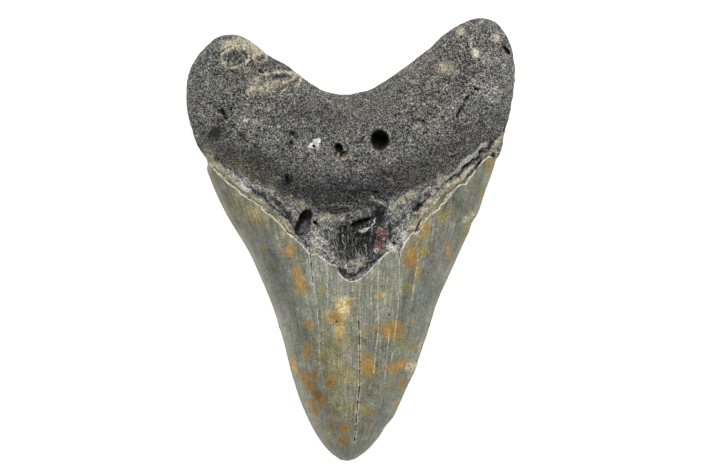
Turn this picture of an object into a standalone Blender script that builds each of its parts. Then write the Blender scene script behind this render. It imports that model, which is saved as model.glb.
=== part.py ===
"""A fossil shark tooth, one solid piece, lying on its flat outer (lip side) face.

The root's two lobes point to +Y and the cutting point to -Y. The thick inner (tongue side)
face looks up along +Z. The tooth rests on three small flats: one under each root lobe and
one under the blade. The origin is on the surface that it lies on, under the middle of its
outline. Everything is drawn in millimetres, then scaled to the slant length below.
"""

import math

import bmesh
import bpy
import numpy as np
from mathutils import Vector
from mathutils.geometry import delaunay_2d_cdt

MM = 0.001

# From the point to the far end of the longer root lobe, as such teeth are measured.
SLANT_LENGTH = 127.0

# Plan of the tooth seen from above, counter-clockwise from the point.
BLADE_RIGHT = [
    (-0.6, -60.75), (2.4, -59.4), (4.6, -57.7), (7.4, -54.6), (8.9, -52.5), (9.8, -50.8),
    (11.6, -49.0), (13.8, -44.5), (15.3, -41.0), (17.6, -36.2), (19.5, -30.5), (21.5, -24.5),
    (23.4, -18.3), (25.5, -13.2), (27.8, -8.2), (30.7, -1.8), (32.9, 3.0), (33.5, 5.3),
    (34.9, 6.9), (36.9, 13.0), (38.6, 17.6), (39.7, 21.0), (40.3, 22.8),
]
ROOT_EDGE = [
    (41.4, 24.9), (42.0, 28.6), (43.2, 32.6), (44.2, 37.5), (44.9, 42.0), (45.1, 46.0),
    (44.6, 51.0), (43.4, 54.9), (41.6, 57.8), (39.4, 60.0), (36.4, 60.8), (33.3, 60.5),
    (29.6, 58.9), (26.0, 56.6), (22.6, 53.4), (17.8, 49.5), (13.0, 46.0), (9.0, 43.3),
    (5.4, 41.3), (1.5, 40.2), (-1.8, 39.8), (-5.2, 40.3), (-8.4, 41.4), (-12.4, 43.9),
    (-16.6, 47.2), (-20.0, 49.3), (-23.5, 51.3), (-26.6, 53.9), (-29.6, 55.7), (-33.0, 56.3),
    (-36.2, 55.7), (-39.3, 53.4), (-42.2, 50.1), (-44.3, 46.0), (-45.1, 41.0), (-44.9, 36.0),
    (-43.9, 31.4), (-42.3, 26.4), (-40.9, 24.0),
]
BLADE_LEFT = [
    (-39.5, 22.3), (-39.1, 20.9), (-39.5, 19.4), (-38.4, 16.3), (-36.4, 11.6), (-33.8, 6.4),
    (-30.8, 1.5), (-27.9, -3.4), (-25.0, -9.6), (-22.4, -15.8), (-20.3, -21.5), (-18.3, -28.5),
    (-16.7, -35.0), (-14.6, -42.0), (-12.4, -47.8), (-9.8, -52.8), (-6.7, -57.2), (-3.6, -59.9),
]

# Where the enamel of the blade ends on the inner face, left to right: a V with small notches.
ENAMEL_LINE = [
    (-39.1, 20.9), (-36.3, 18.5), (-31.6, 14.1), (-26.6, 10.4), (-22.8, 7.3), (-19.0, 4.1),
    (-15.6, 0.6), (-12.4, -2.5), (-11.2, -4.1), (-9.4, -3.9), (-7.7, -5.2), (-3.9, -7.2),
    (-3.0, -9.1), (-1.7, -10.9), (1.5, -11.3), (5.0, -9.0), (8.4, -5.4), (11.0, -3.0),
    (12.3, -2.8), (13.3, -3.8), (15.0, -0.6), (17.7, 1.7), (20.4, 5.3), (25.1, 9.7),
    (30.1, 14.9), (35.5, 20.6), (37.7, 22.5), (40.3, 22.8),
]
# Where the root's swollen part begins on the inner face. The neck band lies between the two.
ROOT_LINE = [
    (-39.5, 22.3), (-37.7, 21.8), (-34.4, 20.6), (-30.3, 18.5), (-26.2, 16.2), (-22.1, 13.8),
    (-18.2, 11.6), (-14.4, 10.0), (-10.5, 8.8), (-6.7, 7.8), (-2.9, 7.3), (0.4, 7.4),
    (4.0, 8.1), (7.0, 9.2), (10.3, 10.8), (13.6, 12.5), (16.9, 13.7), (20.4, 14.7),
    (23.7, 15.3), (27.0, 16.3), (30.3, 18.4), (34.9, 22.4), (38.2, 25.6), (42.0, 28.6),
]
# Where the enamel ends on the outer face: a low arch under the root.
OUTER_ENAMEL_LINE = [
    (-40.9, 24.0), (-36.5, 25.6), (-30.0, 28.1), (-22.0, 30.6), (-12.0, 32.3), (-2.0, 32.6),
    (8.0, 32.5), (18.0, 31.4), (27.0, 29.5), (35.0, 27.0), (41.4, 24.9),
]

# Heights along the tooth, as (y, millimetres).
EDGE_HEIGHT = [
    (-60.8, 3.0), (-45.0, 2.8), (-30.0, 3.0), (-10.0, 3.6), (8.0, 4.4), (20.0, 5.6),
    (27.0, 7.6), (35.0, 8.4), (61.0, 8.2),
]
BLADE_RISE = [
    (-60.8, 0.0), (-60.3, 1.1), (-58.5, 2.9), (-55.0, 4.7), (-50.0, 6.4), (-40.0, 8.8),
    (-30.0, 10.6), (-20.0, 12.0), (-10.0, 13.0), (0.0, 13.6), (12.0, 14.2), (61.0, 14.2),
]
# Gap between the outer face's middle line and the surface. It dips below 0 at the rest flat.
MIDDLE_GAP = [
    (-60.8, 3.0), (-59.0, 2.1), (-55.0, 1.2), (-48.0, 0.35), (-42.0, -0.07), (-35.0, -0.12),
    (-28.0, -0.07), (-20.0, 0.3), (-5.0, 1.0), (10.0, 1.6), (25.0, 2.0), (61.0, 2.0),
]

# Blade form: the share of the dome that is a parabola, the rest being a soft middle ridge.
DOME_SHARE = 0.7
OUTER_FLATNESS = 0.8

# Root form. The swell is the rounded bulge over the middle of the root.
LOBE_RISE = 8.6
SWELL_RISE = 12.0
SWELL_CENTRE = (1.0, 21.5)
SWELL_REACH = (25.0, 15.0)
INNER_ROUNDING = 11.5
OUTER_ROUNDING = 7.0
SHOULDER_LENGTH = 11.0
SHOULDER_POWER = 2.2

# Under the root: the hollow between the lobes, and the rest flat under each.
LOBE_FLATS = [(-32.5, 41.5), (33.5, 45.5)]
LOBE_FLAT_DIP = 0.13
BASIN_DEPTH = 2.1
BASIN_REACH = 19.0

# Steps down from the enamel, which fade out near the cutting edges, and the neck's hollow.
ENAMEL_STEP = 0.5
OUTER_ENAMEL_STEP = 0.35
STEP_WIDTH = 0.45
STEP_FADE = 2.0
OUTER_BLEND = 14.0
NECK_HOLLOW = (2.5, 1.5)
NECK_HOLLOW_REACH = (9.2, 5.7)
NECK_HOLLOW_DEPTH = 0.8

# Pits in the inner face: centre, half length, half width, turn in degrees, depth.
PITS = [
    ((7.9, 27.6), 2.65, 2.5, 90.0, 6.5),
    ((-13.0, 4.4), 3.8, 1.8, 66.0, 3.6),
    ((-3.3, 25.2), 1.25, 0.9, 110.0, 2.0),
    ((-1.8, 22.9), 1.15, 1.0, 60.0, 1.4),
]
PIT_RINGS = (1.0, 0.78, 0.42)
PIT_SIDES = 14
PIT_RIM = 1.0
PIT_FLOOR = 0.62

# Mesh spacing.
OUTLINE_SPACING = 1.75
LINE_SPACING = 1.75
INNER_GRID = 1.95
OUTER_GRID = 2.9
RIM_INSETS = (0.12, 0.5, 1.25, 2.5, 4.2)
RIM_INSETS_OUTER = (0.3, 1.2, 2.9)
SHOULDER_LINES = (0.7, 1.7, 3.1, 4.9)
CURVE_STEPS = 10
CLEARANCE_SHARE = 0.55
RING_SHARE = 0.93
PLAN_PRECISION = 1e-6

TOOTH_COLOUR = (0.16, 0.16, 0.145, 1.0)
TOOTH_ROUGHNESS = 0.6


def smooth_curve(points, closed):
    """A Catmull-Rom curve through the points, as a dense list of points."""
    count = len(points)
    spans = count if closed else count - 1
    dense = []
    for i in range(spans):
        if closed:
            corners = [points[(i + k) % count] for k in (-1, 0, 1, 2)]
        else:
            corners = [points[min(max(i + k, 0), count - 1)] for k in (-1, 0, 1, 2)]
        a, b, c, d = (np.array(p) for p in corners)
        for step in range(CURVE_STEPS):
            t = step / CURVE_STEPS
            dense.append(0.5 * (2 * b + (c - a) * t + (2 * a - 5 * b + 4 * c - d) * t * t
                                + (3 * b - a - 3 * c + d) * t ** 3))
    dense.append(np.array(points[0] if closed else points[-1]))
    return np.array(dense)


def spaced(curve, spacing):
    """Points at one equal spacing along a dense curve, its two ends included."""
    lengths = np.linalg.norm(np.diff(curve, axis=0), axis=1)
    run = np.concatenate([[0.0], np.cumsum(lengths)])
    count = max(2, round(run[-1] / spacing))
    stops = np.linspace(0.0, run[-1], count + 1)
    return np.column_stack([np.interp(stops, run, curve[:, k]) for k in (0, 1)])


def distance_to(points, path):
    """The shortest distance from each point to a path of straight segments."""
    start, along = path[:-1], np.diff(path, axis=0)
    offset = points[:, None, :] - start[None, :, :]
    share = np.clip((offset * along).sum(2) / (along ** 2).sum(1), 0.0, 1.0)
    return np.linalg.norm(offset - share[:, :, None] * along, axis=2).min(1)


def beyond(points, line):
    """Distance to a left-to-right line, positive on the root's side of it."""
    side = np.sign(points[:, 1] - np.interp(points[:, 0], line[:, 0], line[:, 1]))
    return side * distance_to(points, line)


def eased(value):
    """0 below 0, 1 above 1, and a smooth rise between them."""
    share = np.clip(value, 0.0, 1.0)
    return share * share * (3.0 - 2.0 * share)


def rounded(depth, reach):
    """A quarter circle: 0 at the rim, 1 once depth inside it passes reach."""
    return np.sqrt(1.0 - (1.0 - np.clip(depth / reach, 0.0, 1.0)) ** 2)


def mound(x, y, centre, reach):
    """A smooth bell over the plan: 1 at its centre, 1/e at its reach."""
    return np.exp(-(((x - centre[0]) / reach[0]) ** 2) - ((y - centre[1]) / reach[1]) ** 2)


def profile(y, stations):
    """A height read from (y, height) stations along the tooth."""
    return np.interp(y, [s[0] for s in stations], [s[1] for s in stations])


class Tooth:
    """The plan's curves, and the height of each face over any point inside them."""

    def __init__(self):
        corners = BLADE_RIGHT + ROOT_EDGE + BLADE_LEFT
        self.outline = spaced(smooth_curve(corners, closed=True), OUTLINE_SPACING)[:-1]
        self.rim = np.vstack([self.outline, self.outline[:1]])
        self.right_edge = smooth_curve(BLADE_RIGHT, closed=False)
        self.left_edge = smooth_curve(BLADE_LEFT + BLADE_RIGHT[:1], closed=False)[::-1]
        self.enamel_line = self.across(ENAMEL_LINE)
        self.root_line = self.across(ROOT_LINE)
        self.outer_enamel_line = self.across(OUTER_ENAMEL_LINE)

    def across(self, points):
        """A line over the face whose two ends are points of the outline."""
        line = spaced(smooth_curve(points, closed=False), LINE_SPACING)
        for end in (0, -1):
            line[end] = self.outline[self.nearest_corner(line[end])]
        return line

    def nearest_corner(self, point):
        return int(np.argmin(np.linalg.norm(self.outline - point, axis=1)))

    def crosswise(self, points):
        """Where a point lies across the blade, from -1 at its left edge to 1 at its right."""
        left = np.interp(points[:, 1], self.left_edge[:, 1], self.left_edge[:, 0])
        right = np.interp(points[:, 1], self.right_edge[:, 1], self.right_edge[:, 0])
        width = np.maximum(right - left, STEP_WIDTH)
        return np.clip((2 * points[:, 0] - left - right) / width, -1.0, 1.0)

    def inner_height(self, points):
        """The tongue side: domed blade, sunken neck band, swollen root."""
        x, y = points.T
        depth = distance_to(points, self.rim)
        u = self.crosswise(points)
        base = profile(y, EDGE_HEIGHT)
        dome = DOME_SHARE * (1 - u * u) + (1 - DOME_SHARE) * (1 + np.cos(math.pi * u)) / 2
        blade = base + profile(y, BLADE_RISE) * dome
        past_enamel = beyond(points, self.enamel_line)
        blade -= ENAMEL_STEP * eased(past_enamel / STEP_WIDTH + 0.5) * eased(depth / STEP_FADE)
        hollow = mound(x, y, NECK_HOLLOW, NECK_HOLLOW_REACH)
        blade -= NECK_HOLLOW_DEPTH * hollow * eased(past_enamel / STEP_FADE)
        swell = mound(x, y, SWELL_CENTRE, SWELL_REACH)
        root = base + (LOBE_RISE + SWELL_RISE * swell) * rounded(depth, INNER_ROUNDING)
        past_root = np.clip(beyond(points, self.root_line) / SHOULDER_LENGTH, 0.0, 1.0)
        shoulder = 1.0 - (1.0 - past_root) ** SHOULDER_POWER
        height = blade + (root - blade) * shoulder
        for pit in PITS:
            height -= pit[4] * eased((PIT_RIM - pit_radius(points, pit)) / (PIT_RIM - PIT_FLOOR))
        return height

    def outer_height(self, points):
        """The lip side, which the tooth lies on: nearly flat, with three rest flats."""
        depth = distance_to(points, self.rim)
        u = self.crosswise(points)
        base = profile(points[:, 1], EDGE_HEIGHT)
        gap = profile(points[:, 1], MIDDLE_GAP)
        blade = base - (base - gap) * (1 - u * u) ** OUTER_FLATNESS
        from_flat = np.min([np.linalg.norm(points - f, axis=1) for f in LOBE_FLATS], axis=0)
        under = BASIN_DEPTH * (1 - np.exp(-((from_flat / BASIN_REACH) ** 2))) - LOBE_FLAT_DIP
        root = base + (under - base) * rounded(depth, OUTER_ROUNDING)
        past = beyond(points, self.outer_enamel_line)
        step = OUTER_ENAMEL_STEP * eased(past / STEP_WIDTH + 0.5) * eased(depth / STEP_FADE)
        to_root = eased(past / OUTER_BLEND + 0.5)
        height = (blade + step) * (1 - to_root) + root * to_root
        return np.maximum(height, 0.0)


def pit_radius(points, pit):
    """Distance from a pit's centre, as a share of its rim's."""
    (cx, cy), half_length, half_width, turn, _ = pit
    c, s = math.cos(math.radians(turn)), math.sin(math.radians(turn))
    dx, dy = points[:, 0] - cx, points[:, 1] - cy
    return np.hypot((dx * c + dy * s) / half_length, (dy * c - dx * s) / half_width)


def pit_points(pit):
    """Rings of points round a pit, and its centre."""
    (cx, cy), half_length, half_width, turn, _ = pit
    c, s = math.cos(math.radians(turn)), math.sin(math.radians(turn))
    points = [(cx, cy)]
    for ring in PIT_RINGS:
        for k in range(PIT_SIDES):
            angle = 2 * math.pi * k / PIT_SIDES
            a, b = ring * half_length * math.cos(angle), ring * half_width * math.sin(angle)
            points.append((cx + a * c - b * s, cy + a * s + b * c))
    return np.array(points)


def rim_rings(tooth, insets):
    """Points inset from the outline, without those that crowd where it bends."""
    before, after = np.roll(tooth.outline, 1, axis=0), np.roll(tooth.outline, -1, axis=0)
    along = after - before
    inward = np.column_stack([-along[:, 1], along[:, 0]])
    inward /= np.linalg.norm(inward, axis=1)[:, None]
    rings = []
    for inset in insets:
        ring = tooth.outline + inset * inward
        rings.append(ring[distance_to(ring, tooth.rim) > RING_SHARE * inset])
    return np.vstack(rings)


def grid_points(tooth, spacing, edge_gap):
    """A grid of equilateral triangles over the plan, kept edge_gap inside the outline."""
    low, high = tooth.outline.min(0), tooth.outline.max(0)
    row_gap = spacing * math.sqrt(3) / 2
    rows = []
    for r, y in enumerate(np.arange(low[1], high[1], row_gap)):
        xs = np.arange(low[0] + (r % 2) * spacing / 2, high[0], spacing)
        rows.append(np.column_stack([xs, np.full(len(xs), y)]))
    points = np.vstack(rows)
    inside = [is_inside(p, tooth.outline) for p in points]
    points = points[np.array(inside)]
    return points[distance_to(points, tooth.rim) > edge_gap]


def is_inside(point, polygon):
    x, y = point
    ahead = np.roll(polygon, -1, axis=0)
    spans = (polygon[:, 1] > y) != (ahead[:, 1] > y)
    run = ahead[spans] - polygon[spans]
    crossing = polygon[spans, 0] + (y - polygon[spans, 1]) * run[:, 0] / run[:, 1]
    return bool((crossing > x).sum() % 2)


def thinned(points, kept, gap):
    """The points that lie further than gap from every kept one."""
    far = [np.linalg.norm(kept - p, axis=1).min() > gap for p in points]
    return points[np.array(far, dtype=bool)]


def triangulated(tooth, lines, pits, insets, spacing):
    """Points and triangles of a face's plan. The outline's points come first."""
    outline_count = len(tooth.outline)
    points = list(tooth.outline)
    edges = []
    for line, closed_ends in lines:
        run = []
        for k, p in enumerate(line):
            if closed_ends and k in (0, len(line) - 1):
                run.append(tooth.nearest_corner(p))
            else:
                run.append(len(points))
                points.append(p)
        edges += list(zip(run[:-1], run[1:]))
    fixed = [np.array(points)]
    for pit in pits:
        fixed.append(pit_points(pit))
    kept = np.vstack(fixed)
    rings = thinned(rim_rings(tooth, insets), kept[outline_count:], CLEARANCE_SHARE * LINE_SPACING)
    kept = np.vstack([kept, rings])
    grid = grid_points(tooth, spacing, insets[-1] + CLEARANCE_SHARE * spacing)
    kept = np.vstack([kept, thinned(grid, kept, CLEARANCE_SHARE * spacing)])
    plan = [Vector(p) for p in kept]
    ring = list(range(outline_count))
    made = delaunay_2d_cdt(plan, edges, [ring], 1, PLAN_PRECISION)
    return np.array([(p.x, p.y) for p in made[0]]), [tuple(f) for f in made[2]], made[3]


def beside(tooth, line, gap):
    """A copy of a left-to-right line, moved gap towards the root and ending inside the rim."""
    along = line[2:] - line[:-2]
    across = np.column_stack([-along[:, 1], along[:, 0]])
    moved = line[1:-1] + gap * across / np.linalg.norm(across, axis=1)[:, None]
    well_inside = np.array([is_inside(p, tooth.outline) for p in moved])
    well_inside &= distance_to(moved, tooth.rim) > CLEARANCE_SHARE * LINE_SPACING
    return moved[well_inside]


def tooth_mesh(tooth):
    """Both faces as relief over the plan, sewn together along the outline."""
    inner_lines = [(tooth.enamel_line, True), (tooth.root_line, True),
                   (beside(tooth, tooth.enamel_line, STEP_WIDTH), False)]
    inner_lines += [(beside(tooth, tooth.root_line, gap), False) for gap in SHOULDER_LINES]
    outer_lines = [(tooth.outer_enamel_line, True),
                   (beside(tooth, tooth.outer_enamel_line, STEP_WIDTH), False)]
    faces_of = [
        (triangulated(tooth, inner_lines, PITS, RIM_INSETS, INNER_GRID), tooth.inner_height, 1),
        (triangulated(tooth, outer_lines, [], RIM_INSETS_OUTER, OUTER_GRID),
         tooth.outer_height, -1),
    ]
    scale = MM * SLANT_LENGTH / drawn_slant(tooth.outline)
    middle_x, middle_y = (tooth.outline.min(0) + tooth.outline.max(0)) / 2
    mesh = bmesh.new()

    def corner(plan_point, height):
        x, y = plan_point
        return mesh.verts.new(Vector((x - middle_x, y - middle_y, height)) * scale)

    edge_height = profile(tooth.outline[:, 1], EDGE_HEIGHT)
    rim = [corner(p, z) for p, z in zip(tooth.outline, edge_height)]
    for (points, triangles, sources), height_of, way in faces_of:
        corners = []
        for p, z, source in zip(points, height_of(points), sources):
            on_rim = [s for s in source if s < len(rim)]
            corners.append(rim[on_rim[0]] if on_rim else corner(p, z))
        for triangle in triangles:
            mesh.faces.new([corners[k] for k in triangle[::way]])
    return mesh


def drawn_slant(outline):
    """The slant length of the outline as drawn, in millimetres."""
    point = outline[np.argmin(outline[:, 1])]
    return float(np.linalg.norm(outline - point, axis=1).max())


def fossil_material():
    material = bpy.data.materials.new("fossil")
    material.use_nodes = True
    shader = material.node_tree.nodes["Principled BSDF"]
    shader.inputs["Base Color"].default_value = TOOTH_COLOUR
    shader.inputs["Roughness"].default_value = TOOTH_ROUGHNESS
    shader.inputs["Metallic"].default_value = 0.0
    return material


def main():
    for obj in list(bpy.data.objects):
        bpy.data.objects.remove(obj)
    relief = tooth_mesh(Tooth())
    data = bpy.data.meshes.new("tooth")
    relief.to_mesh(data)
    relief.free()
    data.materials.append(fossil_material())
    data.shade_smooth()
    data.set_sharp_from_angle(angle=math.radians(50.0))
    tooth = bpy.data.objects.new("tooth", data)
    bpy.context.scene.collection.objects.link(tooth)


main()
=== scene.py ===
import math

import bmesh
import bpy
import numpy as np
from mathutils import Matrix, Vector
from mathutils.bvhtree import BVHTree


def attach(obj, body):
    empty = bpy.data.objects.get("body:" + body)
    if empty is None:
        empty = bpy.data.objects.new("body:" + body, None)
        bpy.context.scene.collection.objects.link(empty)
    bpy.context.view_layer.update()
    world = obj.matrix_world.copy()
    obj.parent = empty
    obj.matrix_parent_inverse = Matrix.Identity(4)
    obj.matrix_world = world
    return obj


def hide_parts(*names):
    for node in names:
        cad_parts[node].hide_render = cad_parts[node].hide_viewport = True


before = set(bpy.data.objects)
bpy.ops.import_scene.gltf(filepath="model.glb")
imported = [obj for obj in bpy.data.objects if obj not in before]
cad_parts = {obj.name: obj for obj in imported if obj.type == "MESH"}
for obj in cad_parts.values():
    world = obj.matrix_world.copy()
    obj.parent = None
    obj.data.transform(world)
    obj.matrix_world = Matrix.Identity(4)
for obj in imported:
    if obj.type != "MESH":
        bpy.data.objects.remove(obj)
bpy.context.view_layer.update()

# The looks of a fossil shark tooth, lying with its thick inner face up on a pale floor.
# The tooth's own unit is the millimetre. Its plan is x and y, with the root towards +Y.
MM = 0.001

# Marks are placed by the photograph's pixels, measured from the tooth's middle.
PHOTO_SIZE = (708, 472)
TOOTH_MIDDLE_PIXEL = np.array((350.5, 239.5))
PIXEL = 0.274

# Where the enamel ends on the inner face, left to right, in millimetres.
ENAMEL_LINE = [
    (-39.3, 21.7), (-36.3, 18.5), (-34.1, 16.3), (-31.6, 14.1), (-29.1, 11.9), (-26.6, 10.4),
    (-24.7, 9.1), (-22.8, 7.3), (-20.6, 5.6), (-19.0, 4.1), (-17.5, 2.2), (-15.6, 0.6),
    (-14.0, -0.6), (-12.4, -2.5), (-11.2, -4.1), (-10.1, -3.9), (-9.0, -4.0), (-7.7, -5.2),
    (-5.8, -6.6), (-3.9, -7.1), (-3.0, -9.1), (-1.7, -10.9), (-0.1, -11.4), (1.8, -11.2),
    (3.4, -10.0), (5.0, -8.5), (6.5, -6.9), (7.4, -6.2), (8.4, -5.2), (9.7, -3.8),
    (11.0, -3.0), (12.2, -2.7), (13.3, -3.8), (14.1, -2.5), (15.0, -0.6), (16.0, 0.9),
    (17.3, 1.9), (18.0, 1.7), (19.2, 3.1), (20.4, 5.3), (22.0, 6.9), (23.5, 8.0),
    (25.1, 9.7), (26.7, 11.6), (28.6, 13.7), (30.1, 14.9), (31.6, 15.4), (32.7, 17.0),
    (33.9, 18.9), (35.5, 20.6), (36.7, 22.0), (37.7, 22.8), (38.8, 22.7), (40.3, 22.6),
]
# Where the root's swollen part begins. The neck band lies between the two lines.
ROOT_LINE = [
    (-39.5, 22.3), (-37.7, 21.8), (-34.4, 20.6), (-30.3, 18.5), (-26.2, 16.2), (-22.1, 13.8),
    (-18.2, 11.6), (-14.4, 10.0), (-10.5, 8.8), (-6.7, 7.8), (-2.9, 7.3), (0.4, 7.4),
    (4.0, 8.1), (7.0, 9.2), (10.3, 10.8), (13.6, 12.5), (16.9, 13.7), (20.4, 14.7),
    (23.7, 15.3), (27.0, 16.3), (30.3, 18.4), (34.9, 22.4), (38.2, 25.6), (42.0, 28.6),
]
# Where the enamel ends on the outer face, which the tooth lies on.
OUTER_ENAMEL_LINE = [
    (-40.9, 24.0), (-36.5, 25.6), (-30.0, 28.1), (-22.0, 30.6), (-12.0, 32.3), (-2.0, 32.6),
    (8.0, 32.5), (18.0, 31.4), (27.0, 29.5), (35.0, 27.0), (41.4, 24.9),
]
# How far up the blade is measured across, and half its width there.
BLADE_TOP = 20.0
BLADE_HALF_WIDTH = 27.0
# How many points a ring's stroke runs through.
RING_POINTS = 17


def ring(px, py, half_length, half_width, lean, turns=(0, 360)):
    """Points along an ellipse, or a part of one, in the photograph's pixels."""
    c, s = math.cos(math.radians(lean)), math.sin(math.radians(lean))
    points = []
    for angle in np.radians(np.linspace(*turns, RING_POINTS)):
        along, across = half_length * math.cos(angle), half_width * math.sin(angle)
        points.append((px + along * c - across * s, py - along * s - across * c))
    return points


# Marks, in the photograph's pixels. A spot is its middle, half length, half width, the lean
# of its length in degrees, and its strength. A stroke is its path, half width and strength.
RUST_SPOTS = [
    (289.5, 250, 5.5, 4.8, 60, 0.9), (283.5, 252, 4.5, 3, 0, 0.5), (300, 283.5, 9.5, 5, 105, 1.0),
    (296.5, 271, 6, 4.5, 100, 0.65), (309.6, 324.5, 4.8, 4.2, 0, 0.9), (307, 349.5, 8.5, 4, 80, 0.85),
    (293.5, 368, 6.5, 3, 105, 0.8), (285.5, 340.5, 4, 2.5, 60, 0.45), (367.5, 366, 9.5, 6.5, 110, 1.0),
    (363.5, 355, 6, 2.5, 85, 0.5), (392.5, 330, 10.5, 9, 0, 1.0), (370, 328, 7.5, 4.5, 10, 0.5),
    (413.5, 321.5, 3.5, 2.5, 0, 0.45), (392, 368, 8.5, 5, 5, 0.9), (400.5, 364.5, 6.5, 5.2, 0, 1.0),
    (401, 383.5, 5.5, 3, 75, 0.8), (398, 401.5, 3, 2.5, 0, 0.7), (425.5, 229.5, 8.5, 4, 70, 0.95),
    (420.5, 236, 4.5, 3, 20, 0.7), (411, 257.5, 9.5, 6.3, 85, 1.1), (418.6, 272, 6.5, 3, 85, 0.8),
    (474, 216, 2.8, 2.6, 0, 0.9), (464.5, 232, 8, 2.5, 80, 0.35), (447.5, 249.5, 9.5, 3.3, 100, 0.65),
    (482, 191.5, 5, 2.5, 85, 0.5), (489.5, 161, 6.5, 3.5, 100, 0.6), (334, 318, 10, 5, -15, 0.6),
]
GOLD_SPOTS = [
    (343, 308, 11, 7.5, 80, 1.0), (336, 317, 12, 6.5, -15, 0.8), (340, 330.5, 8, 5.5, 75, 1.0),
    (338, 300, 6, 3, -25, 0.6), (381, 294.5, 5.5, 3.5, 0, 0.35), (423.5, 251, 5.5, 4, 10, 0.3),
    (442.5, 216.5, 5.5, 4.5, 0, 0.25), (255, 215, 8, 6, -50, 0.35), (374.5, 274, 4, 3, 60, 0.35),
    (372.5, 288, 6, 2, 90, 0.35), (341, 361, 9, 6, 0, 0.25), (282, 235, 5, 4, -50, 0.35),
    (238, 195, 5, 3, -40, 0.35), (362, 408, 5, 4, 0, 0.3),
]
OLIVE_SPOTS = [
    (381, 294.5, 6, 4, 0, 0.9), (423.5, 251, 6, 4.5, 10, 1.1), (442.5, 216.5, 6, 5, 0, 0.9),
    (488, 168, 5, 4, 60, 0.8), (415, 242, 6, 4, 60, 0.5), (300, 262, 4, 7, 0, 0.4),
    (263.5, 247, 3.8, 3.8, 0, 0.8), (322, 288, 5.5, 3, 85, 0.8), (256, 216, 15, 8, -50, 0.6),
    (322.5, 353.5, 5.5, 4, 60, 0.8), (402, 346, 5.5, 4, 60, 0.6), (413, 345, 6.5, 4.5, 60, 0.6),
    (406.5, 288, 6, 3.8, 70, 0.9), (451.5, 209, 4.5, 3.5, 0, 0.6), (330, 426, 5.5, 4, 0, 0.75),
    (389, 384.5, 5, 4, 0, 0.55), (292.5, 357, 6, 2.5, 90, 0.8), (465.5, 229, 9, 3, 75, 0.7),
    (366, 410, 8, 6, 0, 0.5), (215, 176, 6, 3, -60, 0.4), (460, 182, 9, 4, 40, 0.3),
    (233, 205, 12, 6, -55, 0.35), (376, 303, 6, 3, 80, 0.3), (284, 320, 9, 3, -70, 0.3),
]
BROWN_SPOTS = [
    (318, 395.5, 7.5, 4.5, 125, 1.0), (313.4, 376, 6, 3.8, 85, 0.85), (305.5, 400, 2.6, 2.2, 0, 0.8),
    (330, 382, 6.6, 4.4, 85, 0.95), (343.6, 427, 4.6, 3.8, 0, 0.95), (344.3, 441.5, 6, 3.6, -35, 1.0),
    (331, 425, 2.6, 1.6, -30, 0.6), (334, 429.5, 2, 1.3, 40, 0.6), (368, 411, 4, 3, 0, 0.55),
    (368.5, 425, 5, 1.8, 90, 0.6), (338, 320, 4, 3.4, 0, 0.9), (332.5, 315.5, 4.5, 3.6, 0, 0.7),
    (349, 302.5, 3, 2.8, 0, 0.9), (306, 352, 5, 2.5, 80, 0.5), (322, 320, 4, 3, 0, 0.4),
    (489, 160, 4, 2, 100, 0.4), (281, 80.5, 5, 1.8, 5, 0.6), (295.7, 79, 2, 2, 0, 0.6),
    (251, 45.5, 4, 2.6, -20, 0.6), (264, 71, 7, 3, 15, 0.4), (258, 64, 4, 3, 0, 0.35),
    (427, 78, 6, 5, 0, 0.3), (438, 168, 12, 7, 35, 0.35), (243, 169, 12, 5, -38, 0.2),
]
BROWN_STROKES = [
    ([(303.5, 373.5), (306, 381), (311, 388.5), (316.5, 396), (321.5, 402.5)], 3.3, 1.0),
    ([(311.5, 400.5), (313, 407), (316, 413)], 2.7, 0.95),
]
CREAM_SPOTS = [
    (241, 43.5, 17, 6, -4, 0.9), (256, 48, 11, 7, -32, 0.8), (227, 44, 6, 5, 30, 0.7),
    (257, 89.5, 10, 5.5, 20, 0.7), (271, 86, 12, 5.5, 14, 0.75), (263, 191, 5, 3, -30, 0.5),
    (277, 198, 5, 3, -20, 0.5), (333, 220, 6, 3.5, 0, 0.6), (286, 80, 5, 4.5, 0, 0.4),
    (247, 70, 4.5, 3.2, 0, 0.45), (269.7, 107, 4, 4, 0, 0.35), (459, 31, 5, 4, 20, 1.1),
    (496.5, 38.5, 5, 4.5, 20, 1.2), (475, 53.4, 4.6, 3.8, 0, 1.6), (486, 61, 6.5, 3.5, -35, 0.45),
    (437, 53, 6, 3, 20, 0.35), (446, 67.5, 9, 6.8, 0, 0.75), (427, 84, 7, 5, 0, 0.35),
    (417, 97, 5, 4, 0, 0.25), (381, 103, 6, 4, 30, 0.2), (270.5, 189, 3.4, 2.8, 0, 1.5),
    (440, 181, 5.6, 4.4, 70, 1.6), (411.4, 194.5, 4.8, 3.2, 40, 1.0), (402, 200.5, 5, 3.4, 40, 1.0),
    (392, 207, 5.5, 3.5, 30, 0.7), (430, 189, 5, 3, 30, 0.5), (302, 204, 8, 4, -10, 0.7),
    (325, 217.5, 11, 4.5, -6, 0.65), (316, 248.5, 6, 4.5, -40, 0.8), (286, 197, 8, 4, -30, 0.3),
    (345.8, 309, 11, 3.6, 82, 0.6), (412.5, 368, 8.5, 6.5, 65, 1.6), (257, 80, 6, 4, 0, 0.5),
    (422, 347, 6.5, 5, 60, 0.8), (468, 218.5, 4, 3.2, 20, 1.5), (472.5, 212.5, 3.4, 2.2, 20, 1.3),
    (393.3, 249, 5, 4, 0, 0.7), (208.5, 157.5, 8, 5, 120, 1.2), (357, 264, 9, 4, -10, 0.55),
    (338, 262, 5, 3, -20, 0.3),
]
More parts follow.
